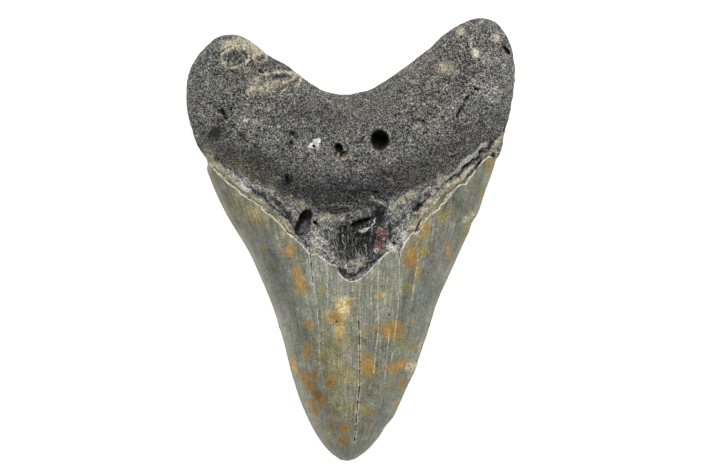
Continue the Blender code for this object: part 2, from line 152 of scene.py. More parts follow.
CREAM_STROKES = [
    (ring(235.5, 57.5, 14.8, 9.6, 10), 1.6, 0.8),
    (ring(260, 57, 6.5, 4.6, -10), 1.4, 0.9),
    ([(261, 76), (267, 74), (274, 72), (281.5, 70.5), (288.5, 72), (297, 74.5), (300.5, 78.5),
      (299, 83.5), (296, 86)], 1.1, 1.5),
    ([(274, 80.5), (283, 83), (290, 79.5), (294, 76), (298, 75.5)], 0.9, 1.2),
    ([(261, 76), (258, 80.5), (251, 86), (247, 91.5), (249, 96)], 0.9, 1.2),
    ([(281.5, 93), (286, 88)], 0.9, 1.2),
    ([(469.5, 39), (470.5, 47)], 1.8, 0.6),
    ([(442, 48), (446, 42)], 0.9, 0.5),
    ([(207, 155), (215, 163), (225, 172), (235, 181), (243, 188)], 2.4, 0.7),
    ([(252, 199), (262, 208), (271, 216), (282, 228)], 1.7, 0.5),
    ([(410, 226), (418, 218), (426, 209), (434, 199)], 3.6, 1.2),
    ([(434, 199), (442, 192.5), (450, 186), (457.5, 180.5)], 2.3, 1.2),
    ([(462.5, 178), (466.5, 173), (471.5, 167)], 1.7, 1.9),
    ([(504, 135), (499, 142), (494.5, 149)], 2.2, 1.4),
]
# Whitish marks: pale grains and patches, and painted highlights where edges, rims and grain catch the
# light.
FROST_AND_HIGHLIGHT_SPOTS = [
    (311.5, 146.5, 5, 3.2, 30, 0.9), (316.5, 142, 4, 3, 30, 1.1), (246, 121.5, 3, 2.4, 0, 0.9),
    (317, 147, 4, 3, 0, 0.5), (440.5, 181, 3.4, 3, 70, 0.8), (363.5, 230.5, 4.6, 2.6, 10, 0.7),
    (384, 239, 2, 1.6, 0, 0.6), (377, 250, 3, 2.5, 0, 0.8), (290.5, 197.5, 2.2, 2.2, 0, 0.8),
    (392, 246, 6.5, 4, -20, 0.6), (253, 127, 6, 3, 0, 0.3), (479.5, 22, 4, 2, 0, 0.4),
    (474.8, 53.2, 3.6, 3.2, 0, 0.8), (404, 236, 7, 4, 30, 0.5), (320, 240, 8, 7, 0, 0.2),
    (258, 186, 4, 3, -40, 0.5), (388, 158, 7, 4, -60, 0.3), (322, 163, 8, 5, 0, 0.25),
    (279, 126, 3, 2.5, 0, 0.4), (404, 222, 5, 4, 60, 0.3),
]
FROST_AND_HIGHLIGHT_STROKES = [
    ([(240, 183), (246.5, 189.5)], 1.8, 0.9),
    ([(227, 170), (234, 176), (241, 183), (248, 191)], 1.3, 0.85),
    ([(254, 189), (253, 184), (257, 180), (261, 184)], 0.7, 0.6),
    ([(240, 116), (256, 124), (272, 131), (290, 138)], 2.0, 0.22),
    ([(412, 132), (428, 122), (446, 110), (462, 98)], 2.4, 0.25),
    ([(440, 148), (456, 138), (474, 130), (492, 126)], 2.2, 0.25),
    ([(470, 112), (484, 100), (498, 92)], 2.2, 0.22),
    ([(352, 222), (345, 224), (338, 226)], 1.0, 0.3),
    ([(376.5, 218.5), (374, 223), (370, 228.5), (365, 231.5)], 0.7, 0.75),
    ([(380, 203), (394, 198), (410, 190), (432, 182)], 1.8, 0.35),
    ([(447, 178.5), (452.5, 175), (458, 170.5), (463, 165), (470, 159), (478, 152.5),
      (486, 145)], 2.6, 0.9),
    ([(464, 176), (467.5, 171.5), (471.5, 167)], 1.2, 0.9),
    ([(371, 198), (377, 200.5), (383, 204.5)], 0.8, 0.7),
    ([(351.5, 243), (353.5, 236), (358, 230)], 0.9, 0.35),
    ([(345, 260), (344, 246), (342, 233)], 0.7, 0.45),
    ([(339, 256), (337, 245), (334, 234)], 0.7, 0.4),
]
# Fine upright scratches in the dark middle of the neck band, drawn as painted highlights along its
# ridges.
UPRIGHT_SCRATCH_HIGHLIGHTS = [([(x, 243 + x % 5), (x + 0.5, 257)], 0.5, 0.45)
                     for x in (352, 355.5, 359, 362, 366, 369.5, 372.5)]
BRICK_SPOTS = [
    (382, 232.5, 5.4, 4.6, -25, 1.0), (379.5, 245, 5.8, 4.2, 65, 0.95), (384, 238, 3.5, 3, 60, 0.7),
]
# Dark marks: dark smudges, and painted shade in the grooves, hollows and dips that they also sink.
SOOT_AND_SHADE_SPOTS = [
    (235.5, 57, 10.5, 5.4, 9, 0.55), (259.5, 57, 3.8, 2.4, -10, 0.95), (280.7, 75.6, 8, 2.0, 4, 0.9),
    (378.5, 213, 11, 5, 112, 0.7), (390.5, 232, 12, 2.6, 98, 0.9), (343, 272.5, 7, 3, -45, 1.0),
    (352, 275, 8, 2.2, 0, 0.9), (361.5, 243, 13, 6, 80, 0.6), (285, 213, 12, 3.5, -48, 0.75),
    (276, 203, 7, 3, -40, 0.75), (250, 191.5, 4, 2.2, -45, 0.6), (419, 205, 3.2, 3, 0, 0.6),
    (394, 218, 4, 4, 60, 0.5), (400, 209, 5, 3, 30, 0.5), (415, 208, 5, 3.5, 40, 0.6),
    (493.5, 155, 3, 2, 60, 1.0), (345.5, 228, 3, 2, 0, 0.7), (215, 133.5, 9, 6, 50, 0.9),
    (222.5, 112.5, 6, 3, -60, 0.9), (257, 136.5, 3, 2.5, 0, 0.6), (221, 127, 5, 3, 40, 0.5),
    (374, 209, 4, 3, 0, 0.5), (395, 243, 2, 2, 0, 0.8), (365, 341, 3, 3, 0, 0.4),
    (389.5, 315, 1.0, 1.0, 0, 0.7), (429.3, 324.2, 1.2, 1.6, 0, 0.9), (287.5, 181, 7, 4.5, 80, 0.85),
    (285, 185, 11, 4.5, 0, 0.6), (418, 120.5, 8, 2.6, 8, 0.6), (447, 66, 3, 2.5, 0, 0.4),
    (336, 211, 26, 4, 4, 0.6), (258, 160, 10, 6, -20, 0.35), (387, 174.5, 7, 3.5, -20, 0.75),
    (293.5, 134.5, 6, 3.5, -40, 0.8), (262, 70.5, 3.4, 2.2, -50, 0.9), (290.5, 143, 4, 3, 90, 0.6),
    (368, 108, 7, 4, 30, 0.25), (388, 101, 7, 4, 20, 0.25), (430, 83, 5, 4, 0, 0.3),
    (315, 124, 5, 3, 0, 0.35), (346, 152, 7, 10, 20, 0.3), (447, 113, 3, 3, 0, 0.4),
    (358, 224, 14, 3, 22, 0.7), (353, 256, 7, 3.2, 85, 0.8), (428, 195, 5, 3, 40, 0.6),
    (336.3, 321, 1.3, 1.2, 0, 0.7), (349, 302.5, 1.4, 1.4, 0, 0.6), (404, 214, 4, 3, 0, 0.5),
    (398, 224, 3, 6, 90, 0.5), (265, 83.5, 3, 1.8, 0, 0.5), (277, 88.5, 3.5, 1.6, 20, 0.5),
    (267, 92, 2.5, 1.5, 0, 0.5), (244, 45, 3, 2, 0, 0.4), (262, 196, 8, 2.5, -45, 0.6),
    (297, 191, 6, 3, -20, 0.4), (308, 238, 5, 3, -40, 0.4),
]
SOOT_AND_SHADE_STROKES = [
    ([(415, 231), (421, 221), (427, 212), (433, 206)], 0.9, 1.0),
    ([(442, 187), (449, 181), (456, 177.5), (461, 173.6), (466, 168), (472, 162.5), (480, 156.5),
      (489, 149.5), (494, 142)], 0.6, 1.1),
    ([(463, 182), (469, 176), (475.5, 168.5), (482, 159.5)], 0.8, 0.9),
    ([(480, 89), (471, 95), (465, 101), (460.5, 108), (457, 116)], 1.6, 0.75),
    ([(450, 103), (440, 111), (429, 121)], 1.3, 0.5),
    ([(225, 118), (232, 126), (240, 134), (247, 144)], 1.1, 0.75),
    ([(209, 103), (217, 108), (226, 119)], 1.0, 0.9),
    ([(428, 160), (444, 150), (462, 142), (480, 130)], 1.2, 0.3),
    ([(400, 106), (392, 112), (384, 120)], 1.2, 0.3),
    ([(316, 201), (334, 201), (352, 200)], 1.6, 0.4),
    ([(355, 166), (349, 161)], 0.9, 0.5),
    (ring(418, 124.5, 7, 5, 25, (60, 350)), 1.0, 0.7),
    ([(322, 113), (326, 107)], 0.9, 0.6),
    ([(298, 208), (296, 217)], 1.2, 0.4),
    ([(380, 256), (373, 261.5), (364, 268), (356, 273)], 1.6, 0.8),
    ([(415, 211), (423, 205), (431, 197)], 2.2, 0.9),
]

# The dark fibres in the middle of the neck band, which spread from below the enamel's V.
HOLLOW_SPOTS = [
    (345, 240, 23, 17, 90, 0.8), (366, 238, 24, 20, 80, 1.0), (354, 224, 22, 5, 12, 0.9),
    (330, 236, 16, 6, 100, 0.5), (378, 214, 13, 9, 95, 1.0),
]
FIBRE_SOURCE = (353, 337)
FIBRE_REACH = 25.0

# Cracks in the enamel, in the photograph's pixels: open and dark with painted shade, or healed and
# pale.
OPEN_CRACKS = [
    [(358.7, 317), (359.3, 336), (359.6, 354), (359.9, 370), (359.3, 388), (357.6, 405),
     (356.4, 422), (355.6, 431), (354.4, 441)],
    [(310.3, 254.0), (311.0, 262.0), (311.4, 270.5), (313.2, 283)],
    [(399.0, 252.5), (399.3, 257)],
]
HEALED_CRACKS = [
    [(399, 257), (399.7, 276), (399.7, 288), (397.4, 296), (398.5, 301), (396.3, 322),
     (394.9, 332), (393.7, 346), (391, 362)],
    [(416.3, 232), (416.8, 240), (418, 260), (415.8, 274), (413.5, 288), (411.7, 304)],
    [(379, 259), (378.7, 276), (378.5, 293), (378.2, 310), (378.5, 329), (376, 348), (373.5, 373)],
    [(372.3, 268), (371.4, 290), (371.4, 311)],
    [(389.7, 329), (387.4, 350), (385.7, 369), (384, 384)],
    [(313.2, 283), (315.2, 294), (316.6, 303), (318.5, 324), (319.1, 342), (319.1, 364)],
    [(290.8, 236), (291, 246)],
    [(327, 268), (327.4, 284), (328, 297)],
]

# Pits, the drilled ones first: middle pixel, half length, half width, lean in degrees and
# depth. The sizes are in millimetres, as those of the grain beds are.
PITS = [
    (380.2, 141, 2.62, 2.55, 90, 1.2), (303.1, 223.3, 3.75, 1.75, 66, 0.6),
    (339.6, 148.8, 1.2, 0.8, 112, 0.5), (344.2, 156.4, 1.15, 0.95, 110, 0.3),
    (222.8, 112.5, 1.05, 0.42, 125, 0.9), (226, 118, 0.6, 0.3, 130, 0.6),
    (231.5, 109.5, 0.45, 0.3, 60, 0.5), (237.5, 99, 0.4, 0.3, 0, 0.5), (234, 125, 0.55, 0.3, 30, 0.5),
    (240.5, 136, 0.5, 0.3, 0, 0.4), (256, 135.5, 0.55, 0.35, 0, 0.5), (291.5, 133, 0.8, 0.5, 150, 0.8),
    (290.8, 143, 0.55, 0.5, 0, 0.8), (314, 146.5, 0.45, 0.4, 0, 0.8), (315.5, 152, 0.35, 0.25, 0, 0.4),
    (287, 180, 1.5, 0.45, 95, 0.9), (361, 140, 0.5, 0.3, 0, 0.5), (356.5, 161, 0.5, 0.25, 20, 0.4),
    (423.3, 121, 0.55, 0.5, 0, 0.8), (442.6, 117.4, 0.4, 0.4, 0, 0.6), (480.3, 66.8, 0.35, 0.3, 0, 0.4),
    (476, 89.6, 0.65, 0.6, 0, 0.9), (466.6, 97.6, 0.7, 0.35, 60, 0.7), (458.6, 112, 1.2, 0.3, 65, 0.7),
    (507, 50.2, 1.6, 0.55, 128, 1.1), (452, 157.5, 0.4, 0.35, 0, 0.5), (481.5, 122, 0.35, 0.3, 0, 0.4),
    (375.5, 193, 0.7, 0.4, 0, 0.5), (387, 201, 0.5, 0.3, 20, 0.4), (315, 223, 0.75, 0.55, 150, 0.8),
    (361, 222.5, 3.3, 0.65, 21, 1.3), (419.5, 206, 0.8, 0.5, 40, 0.7), (389.5, 315, 0.25, 0.25, 0, 0.2),
    (345.5, 228, 0.6, 0.35, 0, 0.4), (264, 99, 0.3, 0.25, 0, 0.3), (395, 243.3, 0.5, 0.4, 0, 0.5),
    (277, 146, 0.4, 0.25, 40, 0.35), (405, 152, 0.35, 0.3, 0, 0.3), (328, 176, 0.4, 0.3, 0, 0.3),
    (433, 96, 0.35, 0.25, 0, 0.3),
]
# The parts of the two largest pits that the light reaches.
BORE_FLOOR = [(303.8, 225.6, 5.5, 2.2, 60, 0.9), (380, 132, 7.5, 3, 0, 0.3)]
# Sediment caught in the pits: middle pixel, half length, half width and lean.
GRAIN_BEDS = [
    (344.4, 157.4, 1.0, 0.7, 70), (312.4, 227, 0.8, 0.5, 0), (475.7, 92, 0.5, 0.4, 0),
    (418.3, 125.5, 0.9, 0.6, 20), (290.8, 197, 0.4, 0.4, 0),
]

# Broad tone of the surface, partly the tooth's own and partly painted light and shade: lighter
# where the root's crests and lobes and the crown's middle face the light, darker on the root's
# downward slopes and the crown's flanks. Middle pixel, half length, half width, lean, and
# amount, where 0.7 doubles the brightness and -0.7 halves it.
TONE_AND_SHADING_CLOUDS = [
    (240, 122, 14, 9, -20, 0.3), (282, 137, 22, 9, -12, 0.3), (314, 160, 16, 14, 0, 0.42),
    (340, 168, 22, 9, 0, 0.3), (372, 168, 20, 9, 0, 0.2), (390, 155, 9, 14, 60, 0.45),
    (355, 150, 10, 8, 0, 0.15), (262, 162, 26, 9, -20, -0.4), (225, 148, 16, 7, -40, -0.15),
    (345, 194, 52, 9, 0, -0.7), (300, 190, 20, 9, -20, -0.4), (408, 180, 20, 9, 32, -0.35),
    (318, 112, 34, 13, -8, -0.35), (358, 112, 20, 14, 0, -0.2), (386, 103, 16, 9, 20, -0.3),
    (205, 112, 9, 20, 90, 0.2), (205, 80, 12, 22, 90, 0.05), (248, 100, 20, 6, 10, 0.1),
    (455, 106, 24, 8, 42, 0.45), (490, 96, 24, 14, 75, 0.5), (500, 55, 24, 10, 100, 0.38),
    (474, 42, 20, 16, 0, 0.2), (425, 128, 18, 8, 30, 0.3), (405, 148, 14, 9, 0, 0.2),
    (462, 133, 16, 8, 40, -0.12), (435, 152, 16, 7, 35, -0.08), (500, 122, 10, 8, 80, 0.25),
    (415, 105, 12, 8, 30, 0.12), (430, 60, 26, 8, 35, 0.05), (345, 96, 26, 5, 0, -0.1),
    (250, 178, 16, 5, -38, 0.15), (228, 171, 14, 5, -40, 0.3), (470, 158, 20, 6, 42, 0.3),
    (440, 176, 12, 6, 35, 0.25), (318, 240, 12, 9, -50, 0.3), (400, 232, 12, 8, 50, 0.25),
    (318, 268, 14, 22, -35, 0.3), (392, 272, 14, 26, 0, 0.28), (345, 288, 24, 9, 0, 0.18),
    (425, 224, 16, 5, 50, 0.25), (345, 440, 12, 14, 0, -0.15), (300, 395, 8, 18, 25, 0.05),
    (455, 205, 18, 12, 55, -0.18), (310, 243, 14, 8, -40, 0.28), (230, 83, 9, 5, 0, -0.22),
    (215, 135, 6, 6, 0, -0.3), (262, 168, 28, 7, -25, -0.22), (312, 182, 14, 5, -15, -0.28),
    (320, 122, 22, 7, 0, -0.18), (268, 97, 9, 5, 0, -0.2), (330, 203, 14, 4, -8, -0.28),
    (212, 117, 5, 8, 60, 0.22), (258, 149, 9, 4, -20, 0.25), (305, 143, 9, 5, 0, 0.2),
    (322, 170, 10, 6, -30, 0.15), (262, 192, 6, 3.5, -40, 0.5), (286, 199, 10, 5, -20, 0.32),
    (243, 173, 9, 4, -40, 0.3), (400, 97, 10, 5, 0, -0.22), (424, 152, 10, 5, 20, -0.25),
    (450, 146, 12, 6, 40, -0.25), (463, 135, 6, 5, 0, -0.2), (372, 178, 16, 5, 0, -0.15),
    (358, 120, 16, 6, 0, -0.15), (470, 48, 20, 7, 30, -0.15), (430, 62, 14, 5, 30, -0.12),
    (418, 100, 4, 5, 0, 0.2), (434, 118, 9, 4, 40, 0.2), (416, 197, 5, 4, 0, 0.3),
    (437, 184, 7, 5, 30, 0.3), (246, 230, 13, 7, -60, -0.25), (286, 268, 15, 5, -72, -0.25),
    (270, 262, 12, 4, -70, 0.12), (316, 304, 9, 7, 0, 0.2), (337, 317, 6, 5, 0, -0.25),
    (336, 299, 5, 3, 0, -0.22), (338, 337, 4, 4, 0, -0.12), (369, 320, 6, 6, 0, 0.15),
    (381, 345, 13, 5, 90, -0.15), (312, 342, 14, 5, -75, -0.15), (305, 364, 11, 5, -78, 0.3),
    (401, 384, 5, 4, 0, -0.2), (414, 325, 16, 6, 80, 0.1), (386, 410, 10, 5, 60, 0.15),
    (329, 434, 9, 5, -45, 0.15), (337, 410, 12, 6, 80, -0.12), (356, 430, 7, 5, 0, -0.2),
    (345, 207, 20, 2, -4, 0.35), (277, 66, 12, 3.5, -32, -0.3), (232, 84, 12, 4, 0, -0.15),
    (300, 172, 14, 8, 0, -0.15), (272, 163, 9, 6, 0, -0.1), (332, 203, 12, 3, 0, -0.2),
    (344, 197, 8, 4, 0, 0.25), (356, 199, 7, 5, 0, -0.3), (238, 170, 14, 5, -38, 0.12),
    (206, 53, 8, 6, 0, 0.12), (463, 130, 12, 8, 40, -0.15), (473, 42, 12, 10, 0, -0.15),
    (425, 172, 10, 4, 65, 0.2), (418, 165, 6, 6, 0, -0.15), (438, 169, 6, 5, 0, -0.15),
    (398, 97, 8, 6, 0, -0.1), (392, 187, 10, 5, 20, 0.15), (404, 218, 5, 4, 0, 0.25),
    (326, 230, 5, 4, 0, 0.3), (320, 304, 7, 6, 0, 0.15), (348, 286, 5, 8, 0, -0.15),
    (342, 423, 4, 3, 0, -0.2), (354, 433, 4, 4, 0, -0.2), (370, 418, 4, 6, 0, -0.15),
    (362, 394, 8, 6, 0, 0.12), (353, 369, 6, 6, 0, 0.1), (398, 394, 6, 7, 50, 0.12),
    (326, 370, 7, 6, 0, -0.12), (430, 275, 9, 30, -20, 0.05), (455, 215, 20, 10, 60, 0.05),
    (225, 188, 18, 6, -55, -0.12), (344.5, 308, 9, 4.5, 82, 0.25), (484, 78, 26, 18, 80, 0.2),
    (315, 112, 26, 12, 0, -0.15), (350, 190, 40, 9, 0, -0.1), (378, 305, 16, 14, 0, 0.14),
    (289, 315, 8, 16, 0, 0.12), (238, 208, 22, 8, -58, -0.22), (275, 262, 16, 12, -60, -0.12),
    (222, 185, 16, 7, -60, -0.2), (268, 222, 14, 7, -50, 0.12),
]
TONE_AND_SHADING_STROKES = [
    ([(262, 228), (272, 258), (287, 296), (299, 330), (307, 356), (317, 392), (328, 424)], 8, -0.34),
    ([(243, 232), (258, 268), (274, 305), (286, 338), (299, 382), (314, 420)], 5, 0.22),
    ([(405, 250), (407, 285), (401, 318), (393, 345)], 5, -0.2),
    ([(450, 245), (436, 285), (424, 325), (412, 362)], 4, 0.12),
    ([(347, 340), (345, 385), (348, 430)], 8, 0.08),
    ([(372, 300), (370, 345), (366, 390), (362, 430)], 6, -0.1),
    ([(509, 58), (509, 88), (505, 118), (497, 142)], 5, 0.22),
    ([(285, 306), (293, 325), (299, 345), (304, 362)], 3.5, 0.2),
    ([(305, 318), (310, 340), (314, 360)], 3, -0.15),
    ([(330, 330), (326, 362), (330, 400), (336, 430)], 6, -0.14),
]
WARM_CLOUDS = [
    (342, 395, 45, 20, 85, 0.7), (335, 345, 22, 20, 0, 0.45), (355, 360, 22, 14, 0, 0.3),
    (253, 212, 16, 9, -50, 0.5), (222, 180, 14, 8, -50, 0.25), (470, 180, 24, 10, 55, 0.35),
    (243, 170, 22, 8, -35, 0.9), (260, 70, 20, 9, 0, 0.5), (350, 105, 50, 12, 0, 0.3),
    (436, 168, 20, 9, 35, 0.6), (400, 92, 30, 10, 30, 0.35), (430, 70, 18, 12, 30, 0.4),
    (280, 290, 60, 12, -70, -0.6), (425, 290, 60, 14, 68, -0.6), (318, 262, 20, 14, -40, -0.3),
    (390, 268, 18, 16, 0, -0.25), (350, 450, 20, 10, 0, -0.4), (385, 410, 26, 9, 65, -0.5),
    (355, 285, 20, 10, 0, -0.1), (300, 405, 26, 7, -60, -0.4), (450, 210, 20, 9, 55, 0.1),
    (345, 190, 60, 12, 0, -0.7), (485, 90, 30, 20, 70, -0.2), (262, 158, 20, 7, -20, -0.1),
]
# A wider and fainter halo surrounds each rust and brown mark.
HALO_GROWTH = 1.45
HALO_STRENGTH = 0.6
HALO_SPOTS = [(px, py, HALO_GROWTH * half_length, HALO_GROWTH * half_width, lean,
               HALO_STRENGTH * strength)
              for px, py, half_length, half_width, lean, strength in RUST_SPOTS + BROWN_SPOTS]
HALO_STROKES = [(path, HALO_GROWTH * half_width, HALO_STRENGTH)
                for path, half_width, _ in BROWN_STROKES]

# Every kind of mark, with its spots and strokes. Some kinds are also scattered over the
# outer face, each by a seed of its own.
MARKS = {
    "rust": (RUST_SPOTS, ()),
    "gold": (GOLD_SPOTS, ()),
    "olive": (OLIVE_SPOTS, ()),
    "brown": (BROWN_SPOTS, BROWN_STROKES),
    "halo": (HALO_SPOTS, HALO_STROKES),
    "cream": (CREAM_SPOTS, CREAM_STROKES),
    "frost": (FROST_AND_HIGHLIGHT_SPOTS, FROST_AND_HIGHLIGHT_STROKES + UPRIGHT_SCRATCH_HIGHLIGHTS),
    "brick": (BRICK_SPOTS, ()),
    "soot": (SOOT_AND_SHADE_SPOTS, SOOT_AND_SHADE_STROKES),
    "hollow": (HOLLOW_SPOTS, ()),
}
SCATTERED_MARKS = ("rust", "gold", "olive", "brown", "halo", "cream", "frost")
SCATTER_STRENGTH = 0.8
FIRST_SCATTER_SEED = 20

# How softly a mark ends, the steps between a path's points, the cells along a side of a
# cloud's table, and how many points are measured from a path at once.
SOFT_EDGE = 1.5
PATH_STEPS = 4
CLOUD_SIZE = 128
POINTS_AT_ONCE = 15000

# Layers of random bumps: height and width in millimetres, and seed. Those of the scattered
# patches have a seed added to their own, and the second two lie turned.
ROOT_SWELLING = ((0.34, 8.0, 3), (0.2, 3.1, 4))
ROOT_LUMPS = ((0.1, 1.5, 5),)
NECK_LUMPS = ((0.3, 2.4, 6), (0.2, 1.1, 7))
ENAMEL_WAVES = ((0.05, 3.0, 8),)
CRUST_LUMPS = ((0.07, 0.9, 9),)
RAGGED_ENAMEL = ((0.2, 1.3, 11), (0.12, 0.55, 12))
RAGGED_ROOT = ((0.5, 2.2, 13),)
CRACK_PINCH_WANDER = ((0.085, 0.75, 14),)
MARK_WANDER = (((0.34, 1.7, 61), (0.2, 0.75, 63)), ((0.34, 1.7, 62), (0.2, 0.75, 64)))
PATCH_LAYERS = ((1.0, 4.6, 0), (0.3, 0.7, 120))
TURNED_PATCH_LAYERS = ((0.8, 3.3, 40), (0.5, 1.5, 80))
TURNED = np.array(((0.8, 0.6), (-0.6, 0.8)))
PATCH_START = 0.85
PATCH_RISE = 0.4


def on_tooth(pixels):
    """Places in the photograph as millimetres on the tooth's plan."""
    return (np.asarray(pixels, float) - TOOTH_MIDDLE_PIXEL) * (PIXEL, -PIXEL)


def eased(value):
    """0 below 0, 1 above 1, and a smooth rise between them."""
    share = np.clip(value, 0.0, 1.0)
    return share * share * (3.0 - 2.0 * share)


def bell(distance, reach):
    """1 at no distance, falling smoothly to nothing a few reaches away."""
    return np.exp(-((distance / reach) ** 2))


def smooth_path(points):
    """A Catmull-Rom curve through the points, as a dense list of points."""
    corners = np.asarray(points, float)
    padded = np.vstack([corners[:1], corners, corners[-1:]])
    dense = []
    for a, b, c, d in zip(padded, padded[1:], padded[2:], padded[3:]):
        for t in np.arange(PATH_STEPS) / PATH_STEPS:
            dense.append(0.5 * (2 * b + (c - a) * t + (2 * a - 5 * b + 4 * c - d) * t * t
                                + (3 * b - a - 3 * c + d) * t ** 3))
    return np.array(dense + [corners[-1]])


def along_path(points, path):
    """The distance from each point to a path, and how far along the path that is."""
    start, step = path[:-1], np.diff(path, axis=0)
    length = np.linalg.norm(step, axis=1)
    run_before = np.concatenate([[0.0], np.cumsum(length)[:-1]])
    gaps, runs = [], []
    for first in range(0, len(points), POINTS_AT_ONCE):
        offset = points[first:first + POINTS_AT_ONCE, None, :] - start[None, :, :]
        share = np.clip((offset * step).sum(2) / np.maximum(length ** 2, 1e-9), 0.0, 1.0)
        away = np.linalg.norm(offset - share[:, :, None] * step, axis=2)
        nearest = away.argmin(1)
        rows = np.arange(len(nearest))
        gaps.append(away[rows, nearest])
        runs.append((run_before + share * length)[rows, nearest])
    return np.concatenate(gaps), np.concatenate(runs)


def path_gap(points, path):
    """The distance from each point to a path given in the photograph's pixels."""
    return along_path(points, smooth_path(on_tooth(path)))[0]


def nearest_gap(points, paths):
    return np.minimum.reduce([path_gap(points, path) for path in paths])


def beyond(points, line):
    """Distance to a left-to-right line, positive on the root's side of it."""
    side = np.sign(points[:, 1] - np.interp(points[:, 0], line[:, 0], line[:, 1]))
    return side * along_path(points, line)[0]


def cloud(points, cell, seed):
    """Smooth random values from -1 to 1 over the plan, with bumps one cell wide."""
    table = np.random.default_rng(seed).uniform(-1.0, 1.0, (CLOUD_SIZE, CLOUD_SIZE))
    place = points / cell + CLOUD_SIZE / 2
    corner = np.floor(place).astype(int)
    u, v = eased(place - corner).T
    i, j = corner.T % CLOUD_SIZE
    k, m = (i + 1) % CLOUD_SIZE, (j + 1) % CLOUD_SIZE
    low = table[i, j] * (1 - u) + table[k, j] * u
    high = table[i, m] * (1 - u) + table[k, m] * u
    return low * (1 - v) + high * v


def bumps(points, layers, first_seed=0):
    """Layers of smooth random relief, added up."""
    return sum(height * cloud(points, cell, first_seed + seed) for height, cell, seed in layers)


def irregular_patches(points, seed):
    """Scattered patches with uneven edges, over about a twentieth of the plan."""
    rough = bumps(points, PATCH_LAYERS, seed) + bumps(points @ TURNED, TURNED_PATCH_LAYERS, seed)
    return eased((rough - PATCH_START) / PATCH_RISE)


def spot_radius(points, px, py, half_length, half_width, lean):
    """Distance from an oval's middle as a share of its rim's, its sizes in millimetres."""
    dx, dy = (points - on_tooth((px, py))).T
    c, s = math.cos(math.radians(lean)), math.sin(math.radians(lean))
    return np.hypot((dx * c + dy * s) / half_length, (dy * c - dx * s) / half_width)


def pixel_radius(points, px, py, half_length, half_width, lean):
    """The same, with the oval's sizes in the photograph's pixels."""
    return spot_radius(points, px, py, half_length * PIXEL, half_width * PIXEL, lean)


def insides(points, ovals, rim, softness, margin=0.0):
    """How far inside each oval the points lie: 0 outside its rim, and 1 well within it."""
    for px, py, half_length, half_width, lean, *_ in ovals:
        radius = spot_radius(points, px, py, half_length + margin, half_width + margin, lean)
        yield eased((rim - radius) / softness)


def mark_level(points, spots, strokes=()):
    """How strongly the marks show: their strength inside, and half of it at their rims."""
    level = np.zeros(len(points))
    marks = [(pixel_radius(points, *spot), strength) for *spot, strength in spots]
    marks += [(path_gap(points, path) / (half_width * PIXEL), strength)
              for path, half_width, strength in strokes]
    for radius, strength in marks:
        level = np.maximum(level, strength * eased((1 - radius) / SOFT_EDGE + 0.5))
    return level


def soft_sum(points, clouds, strokes=()):
    """Broad soft patches and bands, added up: of tone with its painted light and shade, and of warmth.
    """
    total = np.zeros(len(points))
    for *oval, amount in clouds:
        total += amount * bell(pixel_radius(points, *oval), 1.0)
    for path, half_width, amount in strokes:
        total += amount * bell(path_gap(points, path), half_width * PIXEL)
    return total


def wandered(points):
    """The points moved a little at random, so that a mark's edge is uneven."""
    return points + np.stack([bumps(points, layers) for layers in MARK_WANDER], axis=1)


# The tooth's mesh

MERGE_DISTANCE = 1e-6
RIM_CREASE_ANGLE = math.radians(45.0)
RIM_CREASE = 0.9
SMOOTH_LEVELS = 2
SWELL_ROUNDS = 2
INNER_SIDE = -0.25
SMALL_FACE = 0.04 * MM ** 2
INNER_TURN = 0.5
LEAST_LENGTH = 0.01
# How near to each kind of detail the mesh is finest, in millimetres.
LINE_DETAIL = 0.6
CRACK_DETAIL = 0.4
PIT_DETAIL = 0.35
HOLLOW_DETAIL = 0.4
RIM_DETAIL = 0.4

# How far the enamel's strands follow its edges in the middle, and a pit's least painted
# shade and what its depth adds to that.
STRAND_LEAN = 0.4
LEAST_SHADE = 0.6
SHADE_FOR_DEPTH = 0.5
# Places, widths and heights on the surface, in millimetres. An open crack is pinched by up to
# twice the amount given, which varies along it.
FIBRE_START = 5.0
LEDGE_START = 13.0
LEDGE_FADE = 3.0
LEDGE_MIDDLE = 0.95
LEDGE_REACH = 0.65
LEDGE_HEIGHT = 0.3
GROOVE_MIDDLE = 2.1
GROOVE_REACH = 0.35
GROOVE_DEPTH = 0.4
ROOT_SHOULDER = 1.5
ENAMEL_END = 0.3
RIM_CALM = 1.2
ROOT_RIM_CALM = 5.0
NECK_STEP = 0.28
NECK_STEP_WIDTH = 0.25
LIP_HEIGHT = 0.12
LIP_PLACE = 0.4
LIP_REACH = 0.4
WAVE_STRETCH = (1.0, 0.2)
OPEN_CRACK_DEPTH = 0.3
OPEN_CRACK_REACH = 0.17
OPEN_CRACK_PINCH = 0.085
HEALED_CRACK_DEPTH = 0.05
HEALED_CRACK_REACH = 0.2
CRUST_HEIGHT = 0.09
BRICK_HEIGHT = 0.4
SOOT_AND_SHADE_DEPTH = 0.16
SOOT_AND_SHADE_DEPTH_IN_NECK = 0.24
# Where a pit's wall, its painted shade inside and a bed of grains begin, as shares of their size.
PIT_WALL = (1.08, 0.4)
PIT_SHADE = (1.15, 0.35)
BED_EDGE = (1.1, 0.3)
# The overhang at the upper edge of the neck band's dark middle.
HOOD = (361, 222.5, 3.3, 0.65, 21)
HOOD_HEIGHT = 0.35
HOOD_RING = 1.35
HOOD_REACH = 0.3


def placed(data, name):
    """A new object in the scene, at the origin."""
    thing = bpy.data.objects.new(name, data)
    bpy.context.scene.collection.objects.link(thing)
    return thing


def evaluated_mesh(carrier):
    """A plain mesh of an object with its modifiers."""
    evaluated = carrier.evaluated_get(bpy.context.evaluated_depsgraph_get())
    return bpy.data.meshes.new_from_object(evaluated)


def on_rim(edge):
    """Whether an edge lies between an upper and a lower face."""
    up = [face.normal.z > 0 for face in edge.link_faces]
    return len(up) == 2 and up[0] != up[1]


